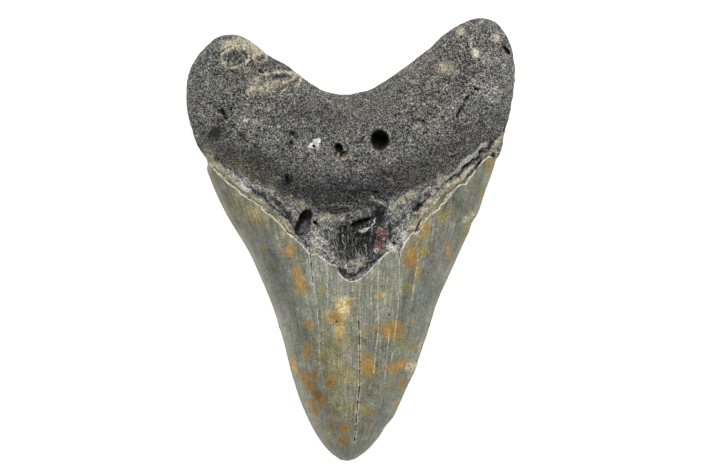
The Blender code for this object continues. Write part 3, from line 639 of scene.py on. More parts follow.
class Plan:
    """The tooth's outline and blade edges, read from the solid that the scene is built round, and its
    given enamel and root lines.
    """

    def __init__(self, solid):
        self.rim = self.rim_loop(solid)
        self.enamel_line = smooth_path(ENAMEL_LINE)
        self.root_line = smooth_path(ROOT_LINE)
        self.outer_enamel_line = smooth_path(OUTER_ENAMEL_LINE)
        point = self.rim[self.rim[:, 1].argmin()]
        blade = self.rim[self.rim[:, 1] < BLADE_TOP]
        right = blade[blade[:, 0] >= point[0]]
        left = blade[blade[:, 0] <= point[0]]
        self.right = right[right[:, 1].argsort()]
        self.left = left[left[:, 1].argsort()]

    @staticmethod
    def rim_loop(solid):
        """The outline, as a closed path of the edges between upper and lower faces."""
        neighbours = {}
        for edge in solid.edges:
            if on_rim(edge):
                a, b = edge.verts
                neighbours.setdefault(a, []).append(b)
                neighbours.setdefault(b, []).append(a)
        first = min(neighbours, key=lambda v: v.co.y)
        loop, previous, current = [first], first, neighbours[first][0]
        while current is not first:
            loop.append(current)
            ahead = [v for v in neighbours[current] if v is not previous]
            previous, current = current, ahead[0]
        loop.append(first)
        return np.array([v.co[:2] for v in loop]) / MM

    def crosswise(self, points):
        """Where a point lies across the blade, from -1 at its left edge to 1 at its right."""
        left = np.interp(points[:, 1], self.left[:, 1], self.left[:, 0])
        right = np.interp(points[:, 1], self.right[:, 1], self.right[:, 0])
        width = np.maximum(right - left, 1.0)
        return np.clip((2 * points[:, 0] - left - right) / width, -1.0, 1.0)


def merged_solid(node):
    """The node's loose triangles as one connected mesh, its cutting edges marked sharp."""
    solid = bmesh.new()
    solid.from_mesh(node.data)
    bmesh.ops.remove_doubles(solid, verts=solid.verts, dist=MERGE_DISTANCE)
    solid.normal_update()
    crease = solid.edges.layers.float.new("crease_edge")
    for edge in solid.edges:
        if on_rim(edge):
            bend = edge.calc_face_angle(0.0)
            edge[crease] = RIM_CREASE * float(eased(bend / RIM_CREASE_ANGLE - 1.0))
    return solid


def swelled(solid):
    """Moves the solid's corners out, so that its smoothed surface passes where they were."""
    corners = np.array([v.co for v in solid.verts])
    for _ in range(SWELL_ROUNDS):
        smooth = subdivided(solid, SMOOTH_LEVELS)
        reached = np.array([v.co for v in smooth.vertices[:len(corners)]])
        bpy.data.meshes.remove(smooth)
        for vert, shift in zip(solid.verts, corners - reached):
            vert.co += Vector(shift)


def subdivided(solid, levels):
    """A smooth subdivided copy of a bmesh, as a mesh."""
    data = bpy.data.meshes.new("rough")
    solid.to_mesh(data)
    carrier = placed(data, "rough")
    smooth = carrier.modifiers.new("smooth", "SUBSURF")
    smooth.levels = levels
    smooth.render_levels = levels
    result = evaluated_mesh(carrier)
    bpy.data.objects.remove(carrier)
    bpy.data.meshes.remove(data)
    return result


def split_faces(form, chosen):
    """Splits the chosen faces in four, and their neighbours to fit."""
    form.edges.index_update()
    split = {edge.index for face in chosen for edge in face.edges}
    edges = [edge for edge in form.edges if edge.index in split]
    bmesh.ops.subdivide_edges(form, edges=edges, cuts=1, use_grid_fill=True, use_single_edge=True)


def wants_detail(points, plan):
    """Whether each place on the inner face needs the finest mesh."""
    wanted = np.abs(beyond(points, plan.enamel_line)) < LINE_DETAIL
    wanted |= nearest_gap(points, OPEN_CRACKS) < CRACK_DETAIL
    for inside in insides(points, PITS, 1.0, 1.0, PIT_DETAIL):
        wanted |= inside > 0
    wanted |= (along_path(points, plan.rim)[0] < RIM_DETAIL) & (points[:, 1] < BLADE_TOP)
    wanted |= mark_level(points, HOLLOW_SPOTS) > HOLLOW_DETAIL
    return wanted


def face_centres(form):
    return np.array([face.calc_center_median() for face in form.faces])[:, :2] / MM


def fine_mesh(solid, plan):
    """The solid's surface, smoothed and split where the detail is."""
    reference = bmesh.new()
    reference.from_mesh(subdivided(solid, SMOOTH_LEVELS))
    surface = BVHTree.FromBMesh(reference)
    form = bmesh.new()
    form.from_mesh(subdivided(solid, 1))
    form.faces.ensure_lookup_table()
    form.normal_update()
    split_faces(form, [face for face in form.faces if face.normal.z > INNER_SIDE])
    form.normal_update()
    chosen = [face for face, fine in zip(form.faces, wants_detail(face_centres(form), plan))
              if fine and face.normal.z > INNER_SIDE and face.calc_area() > SMALL_FACE]
    split_faces(form, chosen)
    for vert in form.verts:
        vert.co = surface.find_nearest(vert.co)[0]
    reference.free()
    form.normal_update()
    return form


def relief(points, fields):
    """How far each point moves along its normal, and straight down, in millimetres."""
    inner, past_enamel, rim_gap = (fields[name] for name in ("inner", "past_enamel", "rim_gap"))
    on_root = eased(fields["past_root"] / ROOT_SHOULDER)
    on_enamel = 1.0 - eased(past_enamel / ENAMEL_END + 0.5)
    neck = (1 - on_root) * (1 - on_enamel) * inner
    from_rim = eased(rim_gap / RIM_CALM)
    lift = -NECK_STEP * eased(past_enamel / NECK_STEP_WIDTH + 0.2) * from_rim
    lift += LIP_HEIGHT * bell(past_enamel + LIP_PLACE, LIP_REACH) * from_rim
    lift += on_root * eased(rim_gap / ROOT_RIM_CALM) * bumps(points, ROOT_SWELLING)
    lift += on_root * bumps(points, ROOT_LUMPS) + neck * bumps(points, NECK_LUMPS)
    lift += on_enamel * bumps(points * WAVE_STRETCH, ENAMEL_WAVES)
    lift += from_rim * (LEDGE_HEIGHT * fields["ledge"] - GROOVE_DEPTH * fields["groove"])
    lift -= inner * OPEN_CRACK_DEPTH * bell(fields["open_crack"], OPEN_CRACK_REACH)
    lift -= inner * HEALED_CRACK_DEPTH * bell(fields["healed_crack"], HEALED_CRACK_REACH)
    lift += inner * fields["cream"] * (CRUST_HEIGHT + bumps(points, CRUST_LUMPS))
    lift += inner * fields["brick"] * BRICK_HEIGHT
    # The dark marks, painted shade among them, sink the surface a little off the enamel.
    soot_and_shade_share = inner * fields["soot"] * (1 - on_enamel)
    lift -= soot_and_shade_share * (SOOT_AND_SHADE_DEPTH + SOOT_AND_SHADE_DEPTH_IN_NECK * neck)
    hood_gap = spot_radius(points, *HOOD) - HOOD_RING
    below = points[:, 1] < on_tooth(HOOD[:2])[1]
    lift += inner * HOOD_HEIGHT * bell(hood_gap, HOOD_REACH) * below
    down = np.zeros(len(points))
    for (*_, depth), inside in zip(PITS, insides(points, PITS, *PIT_WALL)):
        down += depth * inside * inner
    return lift, down


def surface_fields(points, side, plan):
    """What the finish and the relief read at each point of the surface."""
    inner = eased(side / INNER_TURN + 0.5)
    ragged = bumps(points, RAGGED_ENAMEL)
    inner_past = beyond(points, plan.enamel_line) + ragged
    outer_past = beyond(points, plan.outer_enamel_line) + ragged
    past_enamel = inner * inner_past + (1 - inner) * outer_past
    root_gap = beyond(points, plan.root_line) + bumps(points, RAGGED_ROOT)
    rim_gap, rim_run = along_path(points, plan.rim)
    across = plan.crosswise(points)
    lean = STRAND_LEAN + (1 - STRAND_LEAN) * across ** 2
    off_middle = inner * eased((np.abs(points[:, 0]) - LEDGE_START) / LEDGE_FADE)
    source = on_tooth(FIBRE_SOURCE)
    from_source = np.maximum(points[:, 1] - source[1], FIBRE_START)
    pinch = OPEN_CRACK_PINCH + bumps(points, CRACK_PINCH_WANDER)
    # Painted shade inside each pit, darker for a deeper pit.
    shades = [inside * min(1.0, LEAST_SHADE + SHADE_FOR_DEPTH * depth)
              for (*_, depth), inside in zip(PITS, insides(points, PITS, *PIT_SHADE))]
    fields = {
        "inner": inner,
        "past_enamel": past_enamel,
        "past_root": inner * root_gap + (1 - inner) * outer_past,
        "rim_gap": rim_gap,
        "rim_run": rim_run,
        "strand": (1 - lean) * points[:, 0] + lean * across * BLADE_HALF_WIDTH,
        "fan": FIBRE_REACH * (points[:, 0] - source[0]) / from_source,
        "ledge": off_middle * bell(past_enamel - LEDGE_MIDDLE, LEDGE_REACH),
        "groove": off_middle * bell(past_enamel - GROOVE_MIDDLE, GROOVE_REACH),
        "tone": inner * soft_sum(points, TONE_AND_SHADING_CLOUDS, TONE_AND_SHADING_STROKES),
        "warmth": inner * soft_sum(points, WARM_CLOUDS),
        "open_crack": nearest_gap(points, OPEN_CRACKS) + pinch,
        "healed_crack": nearest_gap(points, HEALED_CRACKS),
        "pit": inner * np.maximum.reduce(shades),
        "bore_floor": inner * mark_level(points, BORE_FLOOR),
        "bed": inner * np.maximum.reduce(list(insides(points, GRAIN_BEDS, *BED_EDGE))),
    }
    uneven = wandered(points)
    for seed, (name, (spots, strokes)) in enumerate(MARKS.items(), FIRST_SCATTER_SEED):
        fields[name] = inner * mark_level(uneven, spots, strokes)
        if name in SCATTERED_MARKS:
            fields[name] += (1 - inner) * SCATTER_STRENGTH * irregular_patches(points, seed)
    return fields


def store(mesh, name, values, kind="FLOAT"):
    layer = mesh.attributes.new(name, kind, "POINT")
    layer.data.foreach_set("value" if kind == "FLOAT" else "vector",
                           np.asarray(values, np.float32).ravel())


def carved_mesh(node):
    """The tooth's whole surface with its pits, cracks and lips, and what its finish reads."""
    solid = merged_solid(node)
    plan = Plan(solid)
    swelled(solid)
    form = fine_mesh(solid, plan)
    places = np.array([v.co for v in form.verts]) / MM
    normals = np.array([v.normal for v in form.verts])
    points, side = places[:, :2], normals[:, 2]
    fields = surface_fields(points, side, plan)
    lift, down = relief(points, fields)
    moved = places + normals * lift[:, None] - np.outer(down, (0.0, 0.0, 1.0))
    moved[:, 2] = np.maximum(moved[:, 2], 0.0)
    for vert, place in zip(form.verts, moved):
        vert.co = place * MM
    mesh = bpy.data.meshes.new("fossil_tooth")
    form.to_mesh(mesh)
    form.free()
    solid.free()
    for name, values in fields.items():
        store(mesh, name, values)
    outward = normals * (1.0, 1.0, 0.0)
    length = np.maximum(np.linalg.norm(outward, axis=1), LEAST_LENGTH)
    store(mesh, "outward", outward / length[:, None], "FLOAT_VECTOR")
    return mesh


# Node trees

# The numbers of a Mix node's sockets: share, first and second value, and result.
MIX_INPUTS = {"FLOAT": (0, 2, 3), "RGBA": (0, 6, 7)}
MIX_RESULT = {"FLOAT": 0, "RGBA": 2}


class Tree:
    """A node tree being built. A value may be a number, a vector, a socket or a node."""

    def __init__(self, nodes):
        self.tree = nodes

    def add(self, kind, feeds=None, **settings):
        node = self.tree.nodes.new(kind)
        for name, value in settings.items():
            setattr(node, name, value)
        for name, value in (feeds or {}).items():
            self.feed(node.inputs[name], value)
        return node

    def feed(self, socket, value):
        if isinstance(value, bpy.types.Node):
            value = value.outputs[0]
        if isinstance(value, bpy.types.NodeSocket):
            self.tree.links.new(value, socket)
        elif socket.type == "VECTOR":
            socket.default_value = value[:3]
        else:
            socket.default_value = value

    def maths(self, operation, *values):
        node = self.tree.nodes.new("ShaderNodeMath")
        node.operation = operation
        for socket, value in zip(node.inputs, values):
            self.feed(socket, value)
        return node.outputs[0]

    def times(self, a, b):
        return self.maths("MULTIPLY", a, b)

    def centred(self, value):
        """A noise value, whose middle is a half, moved so that its middle is nothing."""
        return self.maths("SUBTRACT", value, 0.5)

    def off_middle(self, value):
        return self.maths("ABSOLUTE", self.centred(value))

    def point(self, x, y=0.0):
        return self.add("ShaderNodeCombineXYZ", {"X": x, "Y": y})

    def vector(self, operation, first, second):
        node = self.tree.nodes.new("ShaderNodeVectorMath")
        node.operation = operation
        self.feed(node.inputs[0], first)
        self.feed(node.inputs["Scale" if operation == "SCALE" else 1], second)
        return node.outputs[0]

    def ease(self, value, low, high, start=0.0, end=1.0):
        """A smooth step from start to end as the value goes from low to high."""
        feeds = {"Value": value, "From Min": low, "From Max": high, "To Min": start, "To Max": end}
        return self.add("ShaderNodeMapRange", feeds, interpolation_type="SMOOTHSTEP").outputs[0]

    def mix(self, share, a, b, kind="RGBA"):
        node = self.add("ShaderNodeMix", data_type=kind)
        for number, value in zip(MIX_INPUTS[kind], (share, a, b)):
            self.feed(node.inputs[number], value)
        return node.outputs[MIX_RESULT[kind]]

    def noise(self, place, scale, detail=2.0, roughness=0.5, distortion=0.0):
        feeds = {"Vector": place, "Scale": scale, "Detail": detail, "Roughness": roughness,
                 "Distortion": distortion}
        return self.add("ShaderNodeTexNoise", feeds, noise_dimensions="3D").outputs[0]


# Relief that follows the surface, made by geometry nodes. Sizes are in metres, but for the
# spacing across the strands and along the edge, which the surface keeps in millimetres.

def geometry_tree(name, sizes, shape):
    """A tree with named inputs that changes a mesh and gives it its material."""
    group = bpy.data.node_groups.new(name, "GeometryNodeTree")
    group.interface.new_socket("Geometry", in_out="INPUT", socket_type="NodeSocketGeometry")
    for label, value in sizes.items():
        kind = "NodeSocketInt" if isinstance(value, int) else "NodeSocketFloat"
        group.interface.new_socket(label, in_out="INPUT", socket_type=kind)
    group.interface.new_socket("Material", in_out="INPUT", socket_type="NodeSocketMaterial")
    group.interface.new_socket("Geometry", in_out="OUTPUT", socket_type="NodeSocketGeometry")
    g = Tree(group)
    given = g.add("NodeGroupInput").outputs
    shaped = shape(g, given)
    real = g.add("GeometryNodeRealizeInstances", {"Geometry": shaped})
    dressed = g.add("GeometryNodeSetMaterial", {"Geometry": real, "Material": given["Material"]})
    g.add("NodeGroupOutput", {"Geometry": dressed})
    return group


def grown(mesh, name, sizes, shape, material):
    """The plain mesh that a geometry tree makes of a mesh."""
    group = geometry_tree(name, sizes, shape)
    carrier = placed(mesh, name)
    modifier = carrier.modifiers.new(name, "NODES")
    modifier.node_group = group
    values = dict(sizes, Material=material)
    for item in group.interface.items_tree:
        if item.in_out == "INPUT" and item.name in values:
            modifier[item.identifier] = values[item.name]
    result = evaluated_mesh(carrier)
    carrier.modifiers.remove(modifier)
    bpy.data.objects.remove(carrier)
    return result


def attribute(g, name, kind="FLOAT"):
    return g.add("GeometryNodeInputNamedAttribute", {"Name": name}, data_type=kind).outputs[0]


def seeded_noise(g, place, seed, detail):
    feeds = {"Vector": place, "W": seed, "Scale": 1.0, "Detail": detail}
    return g.add("ShaderNodeTexNoise", feeds, noise_dimensions="4D").outputs[0]


def push_out(g, geometry, height):
    """Moves the surface along its normal."""
    offset = g.vector("SCALE", g.add("GeometryNodeInputNormal"), height)
    return g.add("GeometryNodeSetPosition", {"Geometry": geometry, "Offset": offset})


ROOT_GRAIN = {"Grain Size": 0.0011, "Grain Height": 0.00015, "Pore Spacing": 0.0021,
              "Pore Share": 0.25, "Pore Depth": 0.0003, "Seed": 4}


def root_grain(g, given):
    """Uneven grain and scattered pores over the root and, fainter, the neck band."""
    share = g.times(g.ease(attribute(g, "past_root"), -1.5, 1.5, 0.45, 1.0),
                    g.ease(attribute(g, "past_enamel"), 0.0, 0.4))
    position = g.add("GeometryNodeInputPosition")
    fine = g.vector("SCALE", position, g.maths("DIVIDE", 1.0, given["Grain Size"]))
    grain = g.centred(seeded_noise(g, fine, given["Seed"], 2.0))
    grain = g.times(grain, g.times(given["Grain Height"], 2.0))
    spread = g.vector("SCALE", position, g.maths("DIVIDE", 1.0, given["Pore Spacing"]))
    cells = g.add("ShaderNodeTexVoronoi", {"Vector": spread, "Scale": 1.0}, voronoi_dimensions="3D")
    chance = g.add("FunctionNodeSeparateColor", {"Color": cells.outputs["Color"]}).outputs[0]
    chosen = g.maths("LESS_THAN", chance, given["Pore Share"])
    pore = g.times(g.ease(cells.outputs["Distance"], 0.3, 0.05), chosen)
    pore = g.times(pore, given["Pore Depth"])
    return push_out(g, given["Geometry"], g.times(g.maths("SUBTRACT", grain, pore), share))


NECK_STRIAE = {"Stria Spacing": 0.8, "Stria Length": 0.006, "Stria Height": 0.0003, "Seed": 9}


def striae(g, given, across, share, detail):
    """Ridges drawn out along the tooth, whose place across it is kept on the surface."""
    place = g.add("ShaderNodeSeparateXYZ", {"Vector": g.add("GeometryNodeInputPosition")}).outputs
    stretched = g.point(g.maths("DIVIDE", attribute(g, across), given["Stria Spacing"]),
                        g.maths("DIVIDE", place["Y"], given["Stria Length"]))
    wave = g.centred(seeded_noise(g, stretched, given["Seed"], detail))
    height = g.times(g.times(wave, 2.0), given["Stria Height"])
    return push_out(g, given["Geometry"], g.times(height, share))


def neck_striae(g, given):
    """Ridges that spread upwards in the dark hollow at the middle of the neck band."""
    dark = g.ease(attribute(g, "hollow"), 0.3, 0.7)
    below_root = g.ease(attribute(g, "past_root"), 0.0, -1.0)
    return striae(g, given, "fan", g.times(dark, below_root), 1.0)


ENAMEL_STRIAE = {"Stria Spacing": 1.6, "Stria Length": 0.03, "Stria Height": 0.00005, "Seed": 2}


def enamel_striae(g, given):
    """Faint lengthwise ridges that draw together towards the point."""
    return striae(g, given, "strand", g.ease(attribute(g, "past_enamel"), 0.0, -0.6), 2.0)


WORN_EDGE = {"Tooth Spacing": 0.95, "Notch Depth": 0.00016, "Wear Length": 7.0, "Seed": 6}


def worn_edge(g, given):
    """The cutting edges' small serrations, worn away in places."""
    blade = g.ease(attribute(g, "past_enamel"), -1.0, -3.0)
    near = g.ease(attribute(g, "rim_gap"), 0.5, 0.0)
    run = attribute(g, "rim_run")
    phase = g.times(g.maths("DIVIDE", run, given["Tooth Spacing"]), 2 * math.pi)
    wave = g.maths("MULTIPLY_ADD", g.maths("SINE", phase), 0.5, 0.5)
    stretch = g.point(g.maths("DIVIDE", run, given["Wear Length"]))
    wear = g.ease(seeded_noise(g, stretch, given["Seed"], 3.0), 0.4, 0.62, 0.15, 1.0)
    depth = g.times(g.times(wave, wear), given["Notch Depth"])
    depth = g.times(depth, g.times(blade, near))
    outward = attribute(g, "outward", "FLOAT_VECTOR")
    offset = g.vector("SCALE", outward, g.times(depth, -1.0))
    return g.add("GeometryNodeSetPosition", {"Geometry": given["Geometry"], "Offset": offset})


LODGED_GRAINS = {"Grain Radius": 0.0003, "Grain Spacing": 0.00042, "Density": 4.0e6, "Seed": 5}
LEAST_GRAIN, LARGEST_GRAIN = (0.5, 0.5, 0.5), (1.3, 1.1, 0.9)
GRAIN_TURNS = (0.6, 0.6, 2 * math.pi)
GRAIN_LUMPS = 5000.0


def lodged_grains(g, given):
    """Small rounded grains that sit in the beds marked on the surface."""
    scatter = g.add("GeometryNodeDistributePointsOnFaces", {
        "Mesh": given["Geometry"], "Density Max": given["Density"], "Seed": given["Seed"],
        "Distance Min": given["Grain Spacing"], "Density Factor": attribute(g, "bed"),
    }, distribute_method="POISSON")
    ball = g.add("GeometryNodeMeshIcoSphere", {"Radius": given["Grain Radius"], "Subdivisions": 2})
    place = g.vector("SCALE", g.add("GeometryNodeInputPosition"), GRAIN_LUMPS)
    lump = g.centred(seeded_noise(g, place, given["Seed"], 1.0))
    grain = push_out(g, ball, g.times(lump, given["Grain Radius"]))
    size = g.add("FunctionNodeRandomValue", {"Min": LEAST_GRAIN, "Max": LARGEST_GRAIN},
                 data_type="FLOAT_VECTOR")
    turn = g.add("FunctionNodeRandomValue", {"Max": GRAIN_TURNS}, data_type="FLOAT_VECTOR")
    return g.add("GeometryNodeInstanceOnPoints", {
        "Points": scatter, "Instance": grain, "Rotation": turn, "Scale": size})


# Finishes. Colours are the photograph's own screen values, turned into what the surface
# reflects under the studio light.

LIGHT_LEVEL = 1.15


def paint(red, green, blue):
    """What reflects enough of each colour to show as these screen values."""
    channels = []
    for value in (red, green, blue):
        share = value / 255
        linear = share / 12.92 if share <= 0.04045 else ((share + 0.055) / 1.055) ** 2.4
        channels.append(linear / LIGHT_LEVEL)
    return (*channels, 1.0)


ROOT_GREY = paint(81, 81, 76)
ROOT_COLD = paint(79, 79, 80)
ROOT_BROWN = paint(92, 83, 66)
ROOT_LACE = paint(138, 138, 134)
# Pale specks, partly sand grains and partly painted glints.
ROOT_SPECK_AND_GLINT = paint(200, 199, 190)
NECK_SLATE = paint(84, 86, 88)
NECK_PALE = paint(160, 159, 151)
NECK_TAN = paint(160, 151, 121)
HOLLOW_DARK = paint(30, 30, 31)
HOLLOW_LINE = paint(150, 150, 148)
ENAMEL_GREEN = paint(140, 142, 123)
ENAMEL_BLUE = paint(120, 124, 112)
ENAMEL_COLD = paint(116, 119, 112)
ENAMEL_LILAC = paint(134, 133, 133)
ENAMEL_WARM = paint(140, 133, 98)
ENAMEL_PALE = paint(172, 172, 160)
# A painted highlight along the enamel's edge.
ENAMEL_LIP_HIGHLIGHT = paint(236, 230, 210)
RUST = paint(190, 150, 88)
RUST_DEEP = paint(160, 122, 68)
GOLD = paint(196, 168, 96)
GOLD_PALE = paint(222, 204, 150)
OLIVE = paint(156, 138, 70)
BROWN = paint(166, 130, 78)
BROWN_DEEP = paint(138, 104, 60)
CREAM = paint(184, 175, 152)
# Whitish, for pale patches and painted highlights.
FROST_AND_HIGHLIGHT = paint(226, 226, 223)
BRICK = paint(112, 72, 62)
# Pale mottles on the red-brown lumps, painted highlights.
BRICK_HIGHLIGHT = paint(176, 140, 132)
# Painted light on the parts of the two largest pits that the light reaches.
LIT_BORE_GREY = paint(138, 140, 142)
# Dark, for smudges and painted shade.
SOOT_AND_SHADE = paint(32, 32, 33)
# Painted shade inside pits, pores and open cracks.
HOLE_SHADE = paint(12, 12, 12)
HOLE_SHADE_GREY = paint(62, 62, 58)
SEDIMENT = paint(148, 139, 120)
SEDIMENT_BROWN = paint(158, 128, 106)
SEDIMENT_PALE = paint(204, 196, 178)
CRACK_CREAM = paint(212, 207, 186)

# Noise: bumps for each millimetre, detail, roughness and distortion.
CLODS = (0.4, 3.0, 0.8)
GRAIN = (1.6, 3.0, 0.7, 0.3)
FINE_GRAIN = (3.2, 2.0, 0.7)
PATCHES = (0.3, 3.0, 0.55)
RAGGED_MARKS = (1.1, 4.0, 0.7)
CROOKED_LACE = (2.0, 2.0, 0.6, 0.8)
NECK_LAYERS = (1.0, 4.0, 0.7, 0.4)
NECK_CLUMPS = (0.6, 4.0, 0.75, 0.6)
LILAC_CLOUDS = (0.2, 3.0, 0.6)
ENAMEL_CLOUDS = (0.25, 3.0, 0.7)
FIBRE_NOISE = (1.0, 3.0, 0.6)
# Fibres: bumps for each millimetre across and along.
THREADS = (2.4, 0.16)
STREAKS = (0.6, 0.045)
HAIRS = (1.1, 0.02)
HOLLOW_FIBRES = (1.9, 0.12)
# How strongly grain speckles a finish, with the most that it brightens it where that is less
# than usual. The root's is given for its palest and its darkest parts.
MOST_BRIGHTENING = 3.0
ROOT_GRAIN_RANGE = (11.0, 27.0)
ROOT_MOST = 1.1
NECK_CLODS = (3.0, 0.45)
NECK_GRAIN = (12.5, 0.55)
HOLLOW_GRAIN = 12.0
SOOT_AND_SHADE_GRAIN = 9.0
CREAM_GRAIN = (3.0, 0.3)
FROST_AND_HIGHLIGHT_GRAIN = (8.0, 0.45)
STAIN_GRAIN = 3.5
# Where lines are fully faded and fully drawn, in millimetres from their middles.
LIP_HIGHLIGHT_LINE = (0.22, 0.05)
HEALED_LINE = (0.24, 0.05)
CRACK_RIM = (0.7, 0.35)
CRACK_LINE = (0.29, 0.13)
# Gloss and bump of the fossil and of the sediment, the bumps' heights in metres.
FOSSIL_GLOSS = 0.14
FOSSIL_BUMP = 0.0005
FOSSIL_BUMP_STRENGTH = 0.9
SEDIMENT_ROUGHNESS = 0.8
SEDIMENT_BUMP = 0.00005
# Noise moved aside, so that the lilac clouds don't follow the others.
LILAC_SHIFT = (60.0, 20.0, 0.0)


def fresh_material(name):
    material = bpy.data.materials.new(name)
    material.use_nodes = True
    return material, material.node_tree.nodes["Principled BSDF"]


class Finish(Tree):
    """The fossil's material while it is built, with the patterns that its zones share."""

    def __init__(self, material):
        super().__init__(material.node_tree)
        place = self.add("ShaderNodeTexCoord").outputs["Object"]
        self.here = self.vector("SCALE", place, 1 / MM)
        self.across, self.along, _ = self.add(
            "ShaderNodeSeparateXYZ", {"Vector": self.here}).outputs
        self.clods = self.noise(self.here, *CLODS)
        self.grain = self.noise(self.here, *GRAIN)
        self.fine = self.noise(self.here, *FINE_GRAIN)
        self.patch = self.noise(self.here, *PATCHES)
        self.ragged = self.centred(self.noise(self.here, *RAGGED_MARKS))
        self.granular = self.maths("MULTIPLY_ADD", self.fine, 0.6, self.times(self.grain, 0.4))
        self.thread = self.fibres("strand", *THREADS)
        self.streak = self.fibres("strand", *STREAKS)

    def surface(self, name):
        """A value kept at each point of the surface."""
        node = self.add("ShaderNodeAttribute", attribute_name=name, attribute_type="GEOMETRY")
        return node.outputs["Fac"]

    def fibres(self, across, scale, along_scale):
        """Noise drawn out lengthwise, its place across the tooth kept on the surface."""
        place = self.point(self.times(self.surface(across), scale),
                           self.times(self.along, along_scale))
        return self.noise(place, *FIBRE_NOISE)

    def speckled(self, colour, grain, strength, brightest=MOST_BRIGHTENING):
        """The colour made brighter and darker by a grain whose middle value is a half."""
        power = self.times(self.centred(grain), strength)
        power = self.maths("SMOOTH_MIN", power, brightest, 0.5)
        return self.vector("SCALE", colour, self.maths("EXPONENT", power))

    def mark(self, name, spread, share, low=0.15, high=0.85):
        """How strongly a kind of mark shows, its edge broken up by noise."""
        level = self.maths("MULTIPLY_ADD", self.ragged, spread, self.surface(name))
        return self.ease(level, low, high, 0.0, share)


def root_look(g):
    """Dark granular bone, laced with fine paler lines, flecked with pale specks that are partly painted
    glints, and pricked with small pores painted with shade.
    """
    ground = g.mix(g.ease(g.surface("warmth"), 0.1, 1.0), ROOT_GREY, ROOT_BROWN)
    ground = g.mix(g.ease(g.surface("warmth"), 0.0, -0.6), ground, ROOT_COLD)
    harsh = g.ease(g.surface("tone"), 0.5, -0.8, *ROOT_GRAIN_RANGE)
    ground = g.speckled(g.speckled(ground, g.clods, 4.0), g.granular, harsh, ROOT_MOST)
    crooked = g.noise(g.here, *CROOKED_LACE)
    lace = g.times(g.ease(g.off_middle(crooked), 0.05, 0.0), g.ease(g.grain, 0.4, 0.6, 0.05, 0.6))
    ground = g.mix(lace, ground, ROOT_LACE)
    ground = g.mix(g.ease(g.fine, 0.42, 0.3, 0.0, 0.85), ground, SOOT_AND_SHADE)
    # Pale specks, partly painted glints.
    ground = g.mix(g.ease(g.fine, 0.6, 0.68, 0.0, 0.9), ground, ROOT_SPECK_AND_GLINT)
    # Small pores, painted with shade.
    cells = g.add("ShaderNodeTexVoronoi", {"Vector": g.here, "Scale": 0.6})
    pore = g.times(g.ease(cells.outputs["Distance"], 0.3, 0.14),
                   g.ease(g.patch, 0.4, 0.6, 0.25, 0.95))
    return g.mix(pore, ground, HOLE_SHADE)


def neck_look(g):
    """Lumpy slate band with a tan ledge beside the enamel, painted shade in the groove above the ledge,
    and dark fibres in its middle.
    """
    beside = g.point(g.times(g.surface("past_enamel"), 1.3), g.times(g.across, 0.3))
    layers = g.noise(beside, *NECK_LAYERS)
    lumps = g.maths("ADD", g.noise(g.here, *NECK_CLUMPS), layers)
    band = g.mix(g.ease(lumps, 0.84, 1.16), NECK_SLATE, NECK_PALE)
    band = g.speckled(g.speckled(band, g.clods, *NECK_CLODS), g.granular, *NECK_GRAIN)
    tan = g.speckled(g.speckled(NECK_TAN, layers, 5.5), g.granular, 2.4)
    band = g.mix(g.ease(g.surface("ledge"), 0.2, 0.8, 0.0, 0.85), band, tan)
    # Painted shade in the groove above the ledge.
    band = g.mix(g.ease(g.surface("groove"), 0.3, 0.9, 0.0, 0.85), band, SOOT_AND_SHADE)
    fibre = g.fibres("fan", *HOLLOW_FIBRES)
    hollow = g.speckled(g.speckled(HOLLOW_DARK, g.granular, HOLLOW_GRAIN), g.clods, 4.5)
    lined = g.times(g.ease(fibre, 0.5, 0.66), g.ease(g.clods, 0.42, 0.56))
    hollow = g.mix(lined, hollow, HOLLOW_LINE)
    return g.mix(g.mark("hollow", 1.2, 1.0), band, hollow)


def enamel_look(g):
    """Cloudy grey-green enamel with lengthwise streaks, warmer down the middle."""
    enamel = g.mix(g.ease(g.streak, 0.38, 0.62), ENAMEL_BLUE, ENAMEL_GREEN)
    warm = g.maths("MULTIPLY_ADD", g.centred(g.patch), 1.6, g.surface("warmth"))
    warm = g.maths("MULTIPLY_ADD", g.centred(g.thread), -1.2, warm)
    enamel = g.mix(g.ease(warm, -0.1, 0.8), enamel, ENAMEL_WARM)
    enamel = g.mix(g.ease(warm, -0.1, -0.7, 0.0, 0.7), enamel, ENAMEL_COLD)
    apart = g.noise(g.vector("ADD", g.here, LILAC_SHIFT), *LILAC_CLOUDS)
    enamel = g.mix(g.ease(apart, 0.5, 0.66, 0.0, 0.6), enamel, ENAMEL_LILAC)
    lively = g.ease(g.surface("rim_gap"), 2.0, 9.0, 0.55, 1.0)
    enamel = g.speckled(enamel, g.noise(g.here, *ENAMEL_CLOUDS), g.times(lively, 1.4))
    enamel = g.speckled(enamel, g.thread, g.times(lively, 1.7))
    enamel = g.speckled(enamel, g.clods, 1.0)
    enamel = g.speckled(enamel, g.granular, g.times(lively, 3.0))
    hair = g.ease(g.off_middle(g.fibres("strand", *HAIRS)), 0.014, 0.0, 0.0, 0.45)
    enamel = g.mix(g.times(hair, g.ease(g.patch, 0.4, 0.6)), enamel, ENAMEL_PALE)
    edge = g.ease(g.surface("rim_gap"), 1.8, 0.4, 0.0, 0.35)
    return stained(g, g.mix(edge, enamel, ENAMEL_PALE))


# The enamel's stains, the later over the earlier: kind, two colours, and strength.
STAINS = (("halo", OLIVE, OLIVE, 0.6), ("olive", OLIVE, OLIVE, 0.75),
          ("gold", GOLD, GOLD_PALE, 0.95), ("brown", BROWN, BROWN_DEEP, 0.95),
          ("rust", RUST, RUST_DEEP, 0.95))


def stained(g, base):
    """Mineral stains that soak in along the enamel's fibres."""
    threads = g.ease(g.thread, 0.35, 0.6, 0.8, 1.0)
    for name, colour, deeper, share in STAINS:
        stain = g.mix(g.ease(g.clods, 0.42, 0.6), colour, deeper)
        stain = g.speckled(stain, g.granular, STAIN_GRAIN)
        base = g.mix(g.times(g.mark(name, 0.6, share, 0.0, 1.0), threads), base, stain)
    return base


